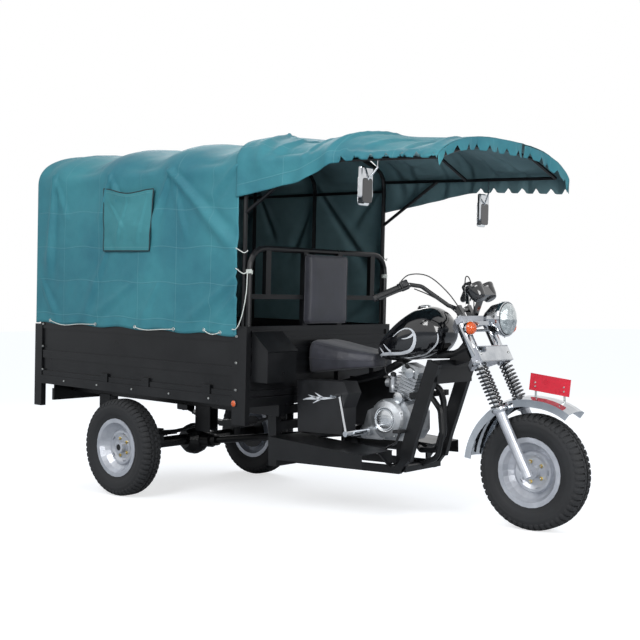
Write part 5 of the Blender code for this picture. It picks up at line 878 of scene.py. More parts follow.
def filled(piece, cap, pressure):
    """Let air pressure fill the pad's cover out for twenty frames, and keep every point within a cap."""
    only(piece)
    grid = piece.modifiers.new("grid", "REMESH")
    grid.mode = "VOXEL"
    grid.voxel_size = 5.5 * MM
    bpy.ops.object.modifier_apply(modifier="grid")
    rest = [vertex.co.copy() for vertex in piece.data.vertices]
    cloth = piece.modifiers.new("filling", "CLOTH")
    cloth.settings.use_pressure = True
    cloth.settings.uniform_pressure_force = pressure
    cloth.settings.effector_weights.gravity = 0.0
    cloth.settings.tension_stiffness = 30
    cloth.settings.bending_stiffness = 4
    cloth.point_cache.frame_start = 1
    cloth.point_cache.frame_end = 20
    for step in range(1, 21):
        bpy.context.scene.frame_set(step)
    bpy.ops.object.modifier_apply(modifier="filling")
    for vertex, start in zip(piece.data.vertices, rest):
        move = vertex.co - start
        if move.length > cap:
            vertex.co = start + move * (cap / move.length)
    bpy.context.scene.frame_set(1)
    finer = piece.modifiers.new("finer", "SUBSURF")
    finer.levels = finer.render_levels = 1
    bpy.ops.object.modifier_apply(modifier="finer")
    bpy.ops.object.shade_smooth()
    return piece


def skinned(name, rings, look, matrix):
    """A closed form through equal rings of points."""
    bm = bmesh.new()
    made = [[bm.verts.new(point) for point in ring] for ring in rings]
    for a, b in zip(made, made[1:]):
        for k in range(len(a)):
            bm.faces.new((a[k - 1], a[k], b[k], b[k - 1]))
    bm.faces.new(made[0])
    bm.faces.new(made[-1])
    bmesh.ops.recalc_face_normals(bm, faces=bm.faces)
    bm.transform(matrix)
    mesh = bpy.data.meshes.new(name)
    bm.to_mesh(mesh)
    bm.free()
    piece = bpy.data.objects.new(name, mesh)
    bpy.context.collection.objects.link(piece)
    mesh.materials.append(look)
    return piece


PAD_X, PAD_DEEP, PAD_HALF, PAD_LOW, PAD_HIGH = 1.0258, 0.053, 0.1665, 1.0495, 1.4365


def pad_outline(inset, waist):
    """The backrest's outline in (y, z), its sides pulled in between the corners."""
    half, low, high = PAD_HALF - inset, PAD_LOW + inset, PAD_HIGH - inset
    corner = 0.022
    points = []
    for cy, cz, start in ((1, 1, 0), (-1, 1, 90), (-1, -1, 180), (1, -1, 270)):
        for k in range(7):
            turn = math.radians(start + 15 * k)
            points.append((cy * (half - corner) + corner * math.cos(turn),
                           (high - corner if cz > 0 else low + corner) + corner * math.sin(turn)))
    filled_in = []
    for place, (a, b) in enumerate(zip(points, points[1:] + points[:1])):
        steps = 28 if place % 7 == 6 else 1
        filled_in += [(a[0] + (b[0] - a[0]) * k / steps, a[1] + (b[1] - a[1]) * k / steps) for k in range(steps)]
    middle = (low + high) / 2
    made = []
    for y, z in filled_in:
        along_z = max(0.0, 1 - ((z - middle) / (high - middle)) ** 2)
        along_y = max(0.0, 1 - (y / half) ** 2)
        made.append((y * (1 - waist * along_z), middle + (z - middle) * (1 - waist * along_y)))
    return made


def make_backrest():
    """The backrest: flat at the back, crowned at the front, piped round both edges."""
    rings = []
    for depth, inset, waist in ((0.0, 0.006, 0.0), (0.004, 0.001, 0.006), (0.034, 0.001, 0.010), (0.042, 0.005, 0.012),
                                (0.046, 0.016, 0.014), (0.049, 0.045, 0.02), (0.0505, 0.080, 0.02),
                                (0.051, 0.120, 0.0)):
        rings.append([(PAD_X + depth, y, z) for y, z in pad_outline(inset, waist)])
    pad = skinned("backrest_cushion", rings, VINYL, BED)
    filled(pad, 1.2 * MM, 3.0)
    pipes = []
    for depth, inset, label in ((0.0425, 0.004, "front"), (0.0045, 0.001, "rear")):
        line = [(PAD_X + depth, y, z) for y, z in pad_outline(inset, 0.010)]
        pipes.append(tube("backrest_piping_" + label, line + line[:1], 2.0 * MM, VINYL, BED))
    belongs([pad, *pipes], "chassis")
    for piece in (pad, *pipes):
        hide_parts("backrest_pad")


SADDLE_REAR, SADDLE_FRONT = 1.087, 1.4985
SADDLE_STATIONS = ((0.0, 0.80, 0.80), (0.02, 0.93, 0.93), (0.08, 0.985, 1.0), (0.20, 0.995, 0.985), (0.36, 0.99, 0.93),
                   (0.52, 0.96, 0.87), (0.68, 0.885, 0.88), (0.82, 0.77, 0.93), (0.93, 0.655, 0.94),
                   (0.98, 0.55, 0.90), (1.0, 0.45, 0.80))


def saddle_ring(share, width_share, top_share, swell=0.0):
    """One section of the saddle: flat underneath, upright welt sides and a dished crown."""
    x = SADDLE_REAR + (SADDLE_FRONT - SADDLE_REAR) * share
    half = 0.1635 * width_share + swell
    full = 0.924 + (0.849 - 0.924) * share
    bottom = 0.7365 + (0.850 - 0.735) * 0.35 * share
    top = bottom + (full - bottom) * (0.88 + 0.12 * top_share) + swell
    high = top - bottom
    points = []
    for y_share, z_share in ((0.0, 0.0), (0.5, 0.0), (0.90, 0.0), (0.965, 0.05), (0.99, 0.25), (1.0, 0.45),
                             (0.985, 0.62), (0.955, 0.78), (0.88, 0.90), (0.74, 0.965), (0.5, 0.992), (0.25, 0.996),
                             (0.0, 0.99)):
        points.append((x, half * y_share, bottom + high * z_share))
    return points + [(px, -py, pz) for px, py, pz in reversed(points[1:-1])]


def make_saddle():
    """The rider's saddle: broad behind, waisted at the tank, with a welt sewn round its side."""
    rings = [saddle_ring(*station) for station in SADDLE_STATIONS]
    saddle = skinned("rider_saddle", rings, VINYL, VEHICLE)
    filled(saddle, 1.2 * MM, 3.0)
    welt = []
    for station in SADDLE_STATIONS:
        ring = saddle_ring(*station, swell=0.0)
        welt.append(Vector(ring[5]) + Vector((0, 0.0002, 0)))
    far = [(p.x, -p.y, p.z) for p in reversed(welt)]
    line = [tuple(p) for p in welt] + far
    piping = tube("saddle_welt", line + line[:1], 1.9 * MM, VINYL, VEHICLE)
    upper = [Vector(saddle_ring(*station)[8]) for station in SADDLE_STATIONS[1:]]
    seams = []
    for side in (1, -1):
        seams.append(tube("saddle_seam_" + ("left" if side > 0 else "right"), [(p.x, p.y * side, p.z) for p in upper],
                          1.3 * MM, VINYL, VEHICLE))
    belongs([saddle, piping, *seams], "chassis")
    for piece in (saddle, piping, *seams):
        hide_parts("seat")


# Tyres

LUG_COUNT = 54
TREAD_DEPTH = 0.0075
TYRE_BODY = ((0.1525, 0.0500), (0.1600, 0.0515), (0.1735, 0.0520), (0.1760, 0.0545), (0.1800, 0.0560), (0.1850, 0.0585),
             (0.1890, 0.0590), (0.1905, 0.0606), (0.1935, 0.0606), (0.1950, 0.0620), (0.2080, 0.0665), (0.2225, 0.0690),
             (0.2320, 0.0685), (0.2345, 0.0692), (0.2375, 0.0690), (0.2450, 0.0668), (0.2560, 0.0640), (0.2655, 0.0585),
             (0.2725, 0.0490), (0.2765, 0.0300), (0.2775, 0.0100))
SHOULDER_LUG = ((0.0245, 0.2847), (0.0330, 0.2842), (0.0455, 0.2802), (0.0555, 0.2742), (0.0615, 0.2670),
                (0.0650, 0.2580))
CENTRE_LUG = ((0.0050, 0.2849), (0.0120, 0.2849), (0.0205, 0.2848))


def add_lug(bm, turn, span, top, side, skew):
    """One tread block: its top line of (y, r) carried over its own angle, standing on the tyre's body."""
    base = [(y * 0.985, r - TREAD_DEPTH - 0.001) for y, r in reversed(top)]
    rings = []
    for share in (-0.5, 0.0, 0.5):
        bend = skew * (0.5 - abs(share)) * 2
        heading = turn + span * share
        rings.append([bm.verts.new((r * math.cos(heading), side * (y + bend), r * math.sin(heading)))
                      for y, r in list(top) + base])
    for a, b in zip(rings, rings[1:]):
        for k in range(len(a)):
            bm.faces.new((a[k - 1], a[k], b[k], b[k - 1]))
    bm.faces.new(rings[0])
    bm.faces.new(rings[-1])


def tyre_mesh(name):
    """A road tyre: beads, ribbed walls, a cross-cut shoulder and two rows of centre blocks."""
    half = [(r, y) for r, y in TYRE_BODY]
    bm = bmesh.new()
    section = [(y, r) for r, y in half] + [(-y, r) for r, y in reversed(half)]
    steps = 108
    rings = []
    for k in range(steps):
        turn = 2 * math.pi * k / steps
        rings.append([bm.verts.new((r * math.cos(turn), y, r * math.sin(turn))) for y, r in section])
    for k in range(steps):
        a, b = rings[k - 1], rings[k]
        for j in range(len(a)):
            face = bm.faces.new((a[j - 1], a[j], b[j], b[j - 1]))
            face.smooth = True
    pitch = 2 * math.pi / LUG_COUNT
    for k in range(LUG_COUNT):
        for side in (-1, 1):
            start = pitch * (k + (0.5 if side > 0 else 0.0))
            add_lug(bm, start, pitch * 0.74, SHOULDER_LUG, side, 0.0022)
            add_lug(bm, start + pitch * 0.5, pitch * 0.80, CENTRE_LUG, side, 0.0030)
    bmesh.ops.recalc_face_normals(bm, faces=bm.faces)
    mesh = bpy.data.meshes.new(name)
    bm.to_mesh(mesh)
    bm.free()
    piece = bpy.data.objects.new(name, mesh)
    bpy.context.collection.objects.link(piece)
    mesh.materials.append(RUBBER)
    return piece


WHEEL_PLACES = {
    "front": (FRONT_HUB, "front_wheel", "front"),
    "rear_right": ((REAR_AXLE_X, -TRACK / 2, TYRE_RADIUS), "rear_wheel_right", "rear_right"),
    "rear_left": ((REAR_AXLE_X, TRACK / 2, TYRE_RADIUS), "rear_wheel_left", "rear_left"),
}


def make_wheel_nuts(label, side):
    """Five yellow-plated nuts on their studs and washers round the hub."""
    pieces = []
    nut = turned_form("nut", ((0.0095, 0.0), (0.0095, 0.0075), (0.0078, 0.0095)), YELLOW_ZINC, Matrix.Identity(4), 6,
                      20)
    stud = turned_form("stud", ((0.0048, 0.009), (0.0048, 0.015), (0.0036, 0.0165)), ZINC, Matrix.Identity(4), 14)
    washer = turned_form("washer", ((0.0125, -0.0002), (0.0125, 0.0016), (0.0115, 0.0020)), ZINC, Matrix.Identity(4),
                         22)
    turn = Matrix.Rotation(math.radians(90 if side < 0 else -90), 4, "X")
    for k in range(5):
        around = Matrix.Rotation(2 * math.pi * (k + 0.5) / 5, 4, "Y")
        lift = Matrix.Translation((0.0515, side * 0.0042, 0))
        for source in (nut, stud, washer):
            pieces.append(copied(source, source.name + str(k), around @ lift @ turn))
    for source in (nut, stud, washer):
        bpy.data.objects.remove(source)
    return joined(label + "_wheel_nuts", pieces)


def make_wheels():
    """Tyres in place of the plain ones, and nuts on the rims."""
    first = tyre_mesh("front_road_tyre")
    tyres = {label: first if label == "front" else copied(first, label + "_road_tyre", Matrix.Identity(4))
             for label in WHEEL_PLACES}
    for label, (place, body, node) in WHEEL_PLACES.items():
        tyre = tyres[label]
        tyre.data.transform(Matrix.Translation(place))
        side = 1 if label == "rear_left" else -1
        nuts = make_wheel_nuts(label, side)
        nuts.data.transform(Matrix.Translation(place))
        belongs([tyre], body)
        belongs([nuts], body)
        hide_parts(node + "_tyre")


make_backrest()
make_saddle()
make_wheels()

# Fuel tank

TANK_BACK, TANK_NOSE, TANK_LOW, TANK_HIGH, TANK_HALF = 1.5035, 1.9345, 0.8125, 1.0845, 0.1395
TANK_SECTIONS = ((0.0, 0.40, 0.10, 0.32), (0.04, 0.52, 0.05, 0.40), (0.12, 0.67, 0.0, 0.54), (0.32, 0.90, 0.0, 0.79),
                 (0.52, 0.99, 0.02, 0.98), (0.66, 1.0, 0.06, 1.045), (0.78, 0.97, 0.11, 1.045),
                 (0.88, 0.88, 0.18, 0.97), (0.96, 0.68, 0.31, 0.83), (0.99, 0.52, 0.38, 0.73),
                 (1.0, 0.34, 0.45, 0.65))
TANK_ROUND = (0.74, 1.02)


def eased(table, share):
    """Values of a table of stations read smoothly between them."""
    k = 0
    while k < len(table) - 2 and table[k + 1][0] < share:
        k += 1
    before, start, end, after = table[max(0, k - 1)], table[k], table[k + 1], table[min(len(table) - 1, k + 2)]
    t = (share - start[0]) / (end[0] - start[0])
    made = []
    for j in range(1, len(start)):
        m0 = (end[j] - before[j]) / max(1e-6, end[0] - before[0]) * (end[0] - start[0])
        m1 = (after[j] - start[j]) / max(1e-6, after[0] - start[0]) * (end[0] - start[0])
        made.append((2 * t ** 3 - 3 * t ** 2 + 1) * start[j] + (t ** 3 - 2 * t ** 2 + t) * m0
                    + (3 * t ** 2 - 2 * t ** 3) * end[j] + (t ** 3 - t ** 2) * m1)
    return made


def tank_section(x):
    """Half width, middle height and half height of the tank at x."""
    wide, low, high = eased(TANK_SECTIONS, min(1.0, max(0.0, (x - TANK_BACK) / (TANK_NOSE - TANK_BACK))))
    span = TANK_HIGH - TANK_LOW
    return TANK_HALF * min(1.0, wide), TANK_LOW + span * (low + high) / 2, span * (high - low) / 2


def tank_side(x, z, lift=0.0):
    """How far the tank's side stands from the middle plane at (x, z)."""
    half, middle, tall = tank_section(x)
    rise = min(0.97, abs(z - middle) / tall) ** (1 / 0.80)
    return half * math.sqrt(1 - rise * rise) ** TANK_ROUND[z > middle] + lift


def curve_through(points, steps):
    """A smooth curve through points, each with any number of values, with steps places between two of them."""
    fine = []
    for k in range(len(points) - 1):
        a, b, c, d = points[max(0, k - 1)], points[k], points[k + 1], points[min(len(points) - 1, k + 2)]
        for step in range(steps):
            t = step / steps
            fine.append(tuple(0.5 * (2 * b[j] + (c[j] - a[j]) * t + (2 * a[j] - 5 * b[j] + 4 * c[j] - d[j]) * t * t
                                     + (3 * b[j] - a[j] - 3 * c[j] + d[j]) * t ** 3) for j in range(len(b))))
    fine.append(tuple(points[-1]))
    return fine


def film_strip(name, line, side, look, surface, lift=0.0006):
    """A flat strip of film laid on a side: its middle line is (x, z, width)."""
    fine = curve_through(line, 8)
    bm = bmesh.new()
    rows = []
    for k, (x, z, width) in enumerate(fine):
        ahead, behind = fine[min(k + 1, len(fine) - 1)], fine[max(0, k - 1)]
        run, rise = ahead[0] - behind[0], ahead[1] - behind[1]
        size = math.hypot(run, rise) or 1.0
        row = []
        for share in (-0.5, -0.17, 0.17, 0.5):
            px, pz = x - rise / size * width * share, z + run / size * width * share
            row.append(bm.verts.new((px, side * surface(px, pz, lift), pz)))
        rows.append(row)
    for a, b in zip(rows, rows[1:]):
        for k in range(3):
            bm.faces.new((a[k], a[k + 1], b[k + 1], b[k]) if side > 0 else (a[k], b[k], b[k + 1], a[k + 1]))
    bm.transform(VEHICLE)
    return thicken(name, bm, (look, look), 0.4 * MM)


SWOOSHES = (
    ((1.497, 0.829, 0.003), (1.530, 0.838, 0.010), (1.566, 0.846, 0.015), (1.610, 0.850, 0.017), (1.660, 0.852, 0.016),
     (1.712, 0.856, 0.016), (1.765, 0.872, 0.016), (1.797, 0.904, 0.017), (1.806, 0.940, 0.017), (1.797, 0.968, 0.012),
     (1.774, 0.983, 0.008), (1.741, 0.984, 0.006), (1.700, 0.968, 0.005), (1.660, 0.941, 0.003)),
    ((1.722, 0.931, 0.003), (1.756, 0.935, 0.007), (1.785, 0.947, 0.012), (1.801, 0.962, 0.013)),
    ((1.541, 0.882, 0.003), (1.556, 0.870, 0.008), (1.572, 0.853, 0.012)),
    ((1.577, 0.902, 0.003), (1.602, 0.884, 0.008), (1.634, 0.861, 0.012)))
PINSTRIPE = ((1.918, 0.960, 0.002), (1.918, 0.935, 0.0045), (1.905, 0.905, 0.0045), (1.878, 0.878, 0.0045),
             (1.838, 0.854, 0.004), (1.780, 0.838, 0.0035), (1.700, 0.829, 0.003))


def make_tank():
    """The teardrop tank with its silver-white flashes, front line, filler cap and badge-free sides."""
    rings = []
    for k in range(65):
        x = TANK_BACK + (TANK_NOSE - TANK_BACK) * (1 - math.cos(math.pi * k / 64)) / 2
        half, middle, tall = tank_section(x)
        ring = []
        for j in range(72):
            turn = 2 * math.pi * j / 72
            ring.append((x, half * math.copysign(abs(math.cos(turn)) ** TANK_ROUND[turn < math.pi], math.cos(turn)),
                         middle + tall * math.copysign(abs(math.sin(turn)) ** 0.80, math.sin(turn))))
        rings.append(ring)
    tank = skinned("teardrop_tank", rings, LACQUER, VEHICLE)
    tunnel = blocked("tunnel", (1.45, -0.0298, 0.78), (2.0, 0.0298, 0.8815), LACQUER, VEHICLE, 0.004)
    only(tank)
    cut = tank.modifiers.new("tunnel", "BOOLEAN")
    cut.operation = "DIFFERENCE"
    cut.object = tunnel
    cut.solver = "EXACT"
    bpy.ops.object.modifier_apply(modifier="tunnel")
    bpy.data.objects.remove(tunnel)
    bpy.ops.object.shade_smooth_by_angle(angle=math.radians(40))
    place = VEHICLE @ Matrix.Translation((1.7750, 0, 1.091)) @ Matrix.Rotation(math.radians(-3), 4, "Y")
    cap = turned_form("filler_cap", ((0.0335, -0.006), (0.0335, 0.010), (0.0320, 0.0125), (0.0300, 0.0135),
                                     (0.0240, 0.0140), (0.0225, 0.0155), (0.0080, 0.0165)), CHROME, place, 48, 30)
    collar = turned_form("filler_collar", ((0.0390, -0.006), (0.0390, 0.0040), (0.0370, 0.0055), (0.0345, 0.0055)),
                         LACQUER, place, 48, 30)
    films = []
    for side, label in SIDES:
        for k, line in enumerate(SWOOSHES):
            films.append(film_strip(f"tank_flash_{label}_{k + 1}", line, side, FILM, tank_side))
        films.append(film_strip(f"tank_front_line_{label}", PINSTRIPE, side, FILM, tank_side))
    belongs([tank, cap, collar, *films], "chassis")
    for piece in (tank, cap, collar):
        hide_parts("fuel_tank")


# Lamps, dials and mirrors


def level_place(x, y, z):
    """A place in the level frame at the front wheel's centre, with the piece's own Z turned forwards."""
    return WHEEL @ Matrix.Translation((x, y, z)) @ AHEAD


def make_headlamp():
    """Lens, silvered bowl, rubber gasket and the chromed rim with its screw, on the lamp's shell."""
    place = level_place(-0.205, 0, 0.748)
    rim = turned_form("headlamp_rim", ((0.0872, 0.0360), (0.0885, 0.0385), (0.0885, 0.0560), (0.0868, 0.0595),
                                       (0.0835, 0.0615), (0.0805, 0.0605), (0.0795, 0.0585)), CHROME, place, 72, 30)
    bowl = turned_form("headlamp_bowl", ((0.0790, 0.0610), (0.0786, 0.0616)), BUFFED, place, 72, 30)
    glass = turned_form("headlamp_glass", ((0.0788, 0.0620), (0.0770, 0.0665), (0.0700, 0.0720), (0.0560, 0.0775),
                                           (0.0380, 0.0812), (0.0200, 0.0830), (0.0060, 0.0835)), LENS_GLASS_PAINTED_REFLECTIONS, place,
                                           72, 60)
    gasket = turned_form("headlamp_gasket", ((0.0800, 0.0575), (0.0806, 0.0622), (0.0786, 0.0630)), HOSE, place, 72, 30)
    screw = turned_form("headlamp_screw", ((0.0038, 0.0), (0.0038, 0.004), (0.0030, 0.005)), ZINC,
                        level_place(-0.205 + 0.040, 0.0, 0.748 - 0.0905), 16)
    belongs([rim, bowl, glass, gasket, screw], "steering")


def make_indicators():
    """Amber lenses with ribbed faces and chromed cups on their rubber stalks."""
    for side, label in SIDES:
        place = level_place(-0.245, side * 0.190, 0.705)
        lens_piece = turned_form("indicator_lens_" + label, ((0.0322, -0.0025), (0.0330, 0.0010), (0.0325, 0.0060),
                                                            (0.0305, 0.0130), (0.0265, 0.0200), (0.0200, 0.0255),
                                                            (0.0110, 0.0290), (0.0030, 0.0298)), AMBER, place, 48, 60)
        cup = turned_form("indicator_cup_" + label, ((0.0180, -0.0298), (0.0240, -0.0260), (0.0300, -0.0150),
                                                     (0.0328, -0.0040), (0.0333, -0.0005)), CHROME, place, 48, 40)
        rings = []
        for k, radius in enumerate((0.0285, 0.0215, 0.0140)):
            high = (0.0168, 0.0246, 0.0282)[k]
            circle = [(radius * math.cos(t * math.pi / 16), radius * math.sin(t * math.pi / 16), high)
                      for t in range(33)]
            rings.append(tube(f"indicator_rib_{label}_{k}", circle, 0.7 * MM, AMBER, place))
        belongs([lens_piece, cup, *rings], "steering")
        for piece in (lens_piece, cup):
            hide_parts("indicator_bar")
    route = [(-0.262, y, 0.6915) for y in (-0.176, -0.10, 0.0, 0.10, 0.176)]
    bar = tube("indicator_cross_bar", route, 7.5 * MM, CHROME, WHEEL)
    sleeves = [tube("indicator_sleeve_" + ("right" if s < 0 else "left"),
                    [(-0.262, s * 0.150, 0.6915), (-0.258, s * 0.182, 0.696)],
                    10.5 * MM, HOSE, WHEEL) for s in (-1, 1)]
    belongs([bar, *sleeves], "steering")
    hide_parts("indicator_bar")


def make_dials():
    """Dial faces with their ticks, pointers and glasses in the two cups, and the black lacquered bezels."""
    tilt = WHEEL @ Matrix.Translation((-0.292, 0, 0.880)) @ Matrix.Rotation(math.radians(-32), 4, "Y")
    for side, label in SIDES:
        place = tilt @ Matrix.Translation((0, side * 0.052, 0.0336))
        face = turned_form("dial_face_" + label, ((0.0386, 0.0), (0.0386, 0.0010), (0.0380, 0.0014)), PLASTIC, place,
                           48)
        bezel = turned_form("dial_bezel_" + label, ((0.0462, -0.002), (0.0462, 0.0055), (0.0448, 0.0078),
                                                    (0.0418, 0.0082), (0.0400, 0.0066)),
                                                    LACQUER, place, 56, 30)
        glass = turned_form("dial_glass_" + label, ((0.0398, 0.0058), (0.0380, 0.0072), (0.0300, 0.0084),
                                                    (0.0150, 0.0090)),
                            GLASS, place, 48, 60)
        ticks = []
        for k in range(9):
            turn = math.radians(-130 + 260 / 8 * k)
            tick = blocked("tick", (0.0270, -0.0007, 0.0014), (0.0345, 0.0007, 0.0018), FILM, Matrix.Identity(4),
                           0.0001, 1)
            tick.data.transform(place @ Matrix.Rotation(turn, 4, "Z"))
            ticks.append(tick)
        hand = blocked("hand", (-0.006, -0.0008, 0.0024), (0.0285, 0.0008, 0.0032), RED, Matrix.Identity(4), 0.0002, 1)
        hand.data.transform(place @ Matrix.Rotation(math.radians(-130), 4, "Z"))
        marks = joined("dial_marks_" + label, ticks)
        hand.name = "dial_hand_" + label
        cup = turned_form("dial_cup_" + label, ((0.0180, -0.0740), (0.0245, -0.0742), (0.0300, -0.0705),
                                                (0.0378, -0.0540), (0.0425, -0.0260), (0.0437, -0.0100),
                                                (0.0440, -0.0030)), LACQUER,
                                                place, 56, 40)
        belongs([face, bezel, glass, marks, hand, cup], "steering")


def make_mirrors():
    """Silvered glass in each mirror's shell, facing back to the rider, with a chrome lip round it."""
    for side, x, z in ((-1, 1.775, 1.725), (1, 1.685, 1.690)):
        label = "right" if side < 0 else "left"
        outline = []
        for cy, cz, start in ((1, 1, 0), (-1, 1, 90), (-1, -1, 180), (1, -1, 270)):
            for k in range(6):
                turn = math.radians(start + 18 * k)
                outline.append((cy * 0.0265 + 0.0165 * math.cos(turn), cz * 0.0525 + 0.0165 * math.sin(turn)))
        rings = [[(x - depth, side * 0.600 + y * scale, z + h * scale) for y, h in outline]
                 for depth, scale in ((-0.0005, 1.0), (0.0008, 1.0), (0.0012, 0.97))]
        glass = skinned("mirror_glass_" + label, rings, MIRROR, BED)
        rings = [[(x + depth, side * 0.600 + y * scale, z + h * scale) for y, h in outline]
                 for depth, scale in ((0.0215, 0.86), (0.0232, 0.86), (0.0236, 0.82))]
        back = skinned("mirror_back_" + label, rings, LACQUER, BED)
        lip_line = [(x - 0.0006, side * 0.600 + y * 1.03, z + h * 1.015) for y, h in outline]
        lip = tube("mirror_lip_" + label, lip_line + lip_line[:1], 1.4 * MM, CHROME, BED)
        belongs([glass, lip, back], "chassis")


make_tank()
make_headlamp()
make_indicators()
make_dials()
make_mirrors()

# Fork, bar and controls


def fork_place(x, y, z):
    """A place in the fork's raked frame, in the row frame."""
    return FORK @ Vector((x, y, z))


COIL_RADIUS = 30.2 * MM
COIL_WIRE = 10 * MM
COIL_BOTTOM = 0.3414
COIL_TOP = 0.5665
COIL_TURNS = 11
# Name, profile of (radius, height up the fork), sides and smoothing angle
FORK_TURNINGS = (
    ("stanchion", ((0.0170, 0.336), (0.0171, 0.5725)), 40, 30),
    ("spring_cup", ((0.0370, 0.3225), (0.0374, 0.3235), (0.0374, 0.3335), (0.0368, 0.3345)), 48, 30),
    ("spring_cap", ((0.0370, 0.5735), (0.0374, 0.5745), (0.0374, 0.5840), (0.0368, 0.5848)), 48, 30),
    ("fork_sleeve", ((0.0266, 0.6160), (0.0270, 0.6170), (0.0270, 0.7980), (0.0266, 0.7990)), 48, 30),
    ("fork_top_nut", ((0.0150, 0.8300), (0.0150, 0.8400), (0.0130, 0.8425)), 6, 20))


def make_springs():
    """The open coils round the stanchions, with the chromed stanchions, spring seats, caps, sleeves and top nuts."""
    for side, label in SIDES:
        points = []
        steps = 22
        count = round(COIL_TURNS * steps)
        for k in range(count + 1):
            turn = 2 * math.pi * k / steps
            share = k / count
            even = share + 0.018 * math.sin(2 * math.pi * share)
            points.append((0.078 + COIL_RADIUS * math.cos(turn), side * (0.118 + COIL_RADIUS * math.sin(turn)),
                           COIL_BOTTOM + (COIL_TOP - COIL_BOTTOM) * even))
        coil = tube("fork_coil_" + label, points, COIL_WIRE / 2, LACQUER, FORK)
        belongs([coil], "steering")
        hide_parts("fork_spring_" + label)
        axis = FORK @ Matrix.Translation((0.078, side * 0.118, 0))
        bright = [turned_form(f"{name}_{label}", profile, CHROME, axis, sides, angle)
                  for name, profile, sides, angle in FORK_TURNINGS]
        belongs(bright, "steering")


def make_cover_plate():
    """The chromed bright plate across the fork, bare, with a rolled edge and two domed screws."""
    face = 0.078 + 0.026 + 0.012
    plate = blocked("fork_cover_face", (face - 0.002, -0.1480, 0.5715), (face + 0.0016, 0.1480, 0.6565), CHROME, FORK,
                    0.0012)
    lip = []
    for z in (0.5755, 0.6525):
        lip.append(tube("fork_cover_bead", [(face + 0.0016, -0.145, z), (face + 0.0016, 0.145, z)], 1.8 * MM, CHROME,
                        FORK))
    screws = []
    for y in (-0.130, 0.130):
        place = FORK @ Matrix.Translation((face + 0.0010, y, 0.614)) @ AHEAD
        screws.append(turned_form("screw", ((0.0060, 0.0), (0.0058, 0.0020), (0.0040, 0.0036), (0.0012, 0.0042)), ZINC,
                                  place, 20))
    trim = joined("fork_cover_screws", screws)
    beads = joined("fork_cover_beads", lip)
    belongs([plate, beads, trim], "steering")


def bar_points(side):
    """Places along the handlebar's bent half."""
    route = [(0.050, 0.030, 0.889), (0.029, 0.090, 0.926), (-0.002, 0.210, 1.051), (-0.029, 0.280, 1.075),
             (-0.158, 0.400, 1.064)]
    return [Vector((x, side * y, z)) for x, y, z in route]


def make_controls():
    """Ribbed grips with their collars, and switch housings with their buttons."""
    for side, label in SIDES:
        route = bar_points(side)
        tip = route[-1]
        heading = (tip - route[-2]).normalized()
        inner = tip - heading * 0.125
        frame_turn = heading.to_track_quat("Z", "X").to_matrix().to_4x4()
        grip_profile = [(0.0150, 0.0)]
        for k in range(12):
            base = 0.004 + k * 0.0095
            grip_profile += [(0.0176, base), (0.0176, base + 0.006), (0.0168, base + 0.007), (0.0168, base + 0.009)]
        grip_profile += [(0.0182, 0.1185), (0.0182, 0.1225), (0.0165, 0.1255), (0.0060, 0.1262)]
        place = FORK @ Matrix.Translation(inner) @ frame_turn
        grip = turned_form("rubber_grip_" + label, grip_profile, HOSE, place, 32, 30)
        collar = turned_form("grip_collar_" + label, ((0.0150, -0.010), (0.0215, -0.009), (0.0215, -0.001),
                                                      (0.0180, 0.0)),
                             PLASTIC, place, 32, 30)
        housing = blocked("switch_housing_" + label, (-0.0215, -0.0195, -0.056), (0.0235, 0.0195, -0.012), PLASTIC,
                          place,
                          0.006, 3)
        lower = blocked("switch_lower_" + label, (-0.014, -0.030, -0.050), (0.016, -0.006, -0.020), PLASTIC, place,
                        0.004, 3)
        button = blocked("switch_button_" + label, (-0.006, 0.0185, -0.042), (0.006, 0.0225, -0.030),
                         RED if side < 0 else AMBER, place, 0.001)
        belongs([grip, collar, housing, lower, button], "steering")


def tied_cord(name, points, radius, look, steps=12):
    """A cord through places on the tricycle, as a smooth tube."""
    fine = curve_through(points, steps)
    piece = tube(name, fine, radius, look)
    return piece


CABLES = (
    ("throttle_cable", -1, 3.0, ((-0.062, 0.303, 1.093), (-0.012, 0.262, 1.120), (0.045, 0.190, 1.085),
                                 (0.070, 0.120, 0.985), (0.066, 0.062, 0.880), (0.050, 0.036, 0.800))),
    ("brake_cable", -1, 3.0, ((-0.010, 0.268, 1.040), (0.022, 0.215, 0.990), (0.050, 0.150, 0.925),
                              (0.062, 0.095, 0.862), (0.058, 0.060, 0.810))),
    ("clutch_cable", 1, 3.0, ((-0.062, 0.303, 1.093), (-0.012, 0.262, 1.120), (0.045, 0.190, 1.080),
                              (0.072, 0.118, 0.975), (0.066, 0.060, 0.875), (0.052, 0.030, 0.805))),
    ("switch_loom", 1, 3.6, ((-0.010, 0.268, 1.040), (0.020, 0.212, 0.985), (0.046, 0.150, 0.920),
                             (0.060, 0.092, 0.858), (0.056, 0.058, 0.808))),
)


def make_cables():
    """Control cables that loop from the levers over the bar and down behind the headlamp."""
    for name, side, radius, route in CABLES:
        points = [tuple(fork_place(x, side * y, z)) for x, y, z in route]
        piece = tied_cord(name, points, radius * MM, HOSE)
        belongs([piece], "steering")


make_springs()
make_cover_plate()
make_controls()
make_cables()

# Engine, on the right unless it says otherwise

TO_RIGHT = Matrix.Rotation(math.radians(90), 4, "X")     # turns a piece's own Z to the right, -Y


def vehicle_place(x, y, z):
    """A place on the vehicle with the piece's own Z turned to the right."""
    return VEHICLE @ Matrix.Translation((x, y, z)) @ TO_RIGHT


def bolt_circle(name, places, radius, look):
    """Hexagon bolt heads at places given as matrices."""
    head = turned_form("head", ((radius, -0.003), (radius, 0.0035), (radius * 0.85, 0.0045)), look, Matrix.Identity(4),
                       6, 20)
    made = [copied(head, "bolt", place) for place in places]
    bpy.data.objects.remove(head)
    return joined(name, made)


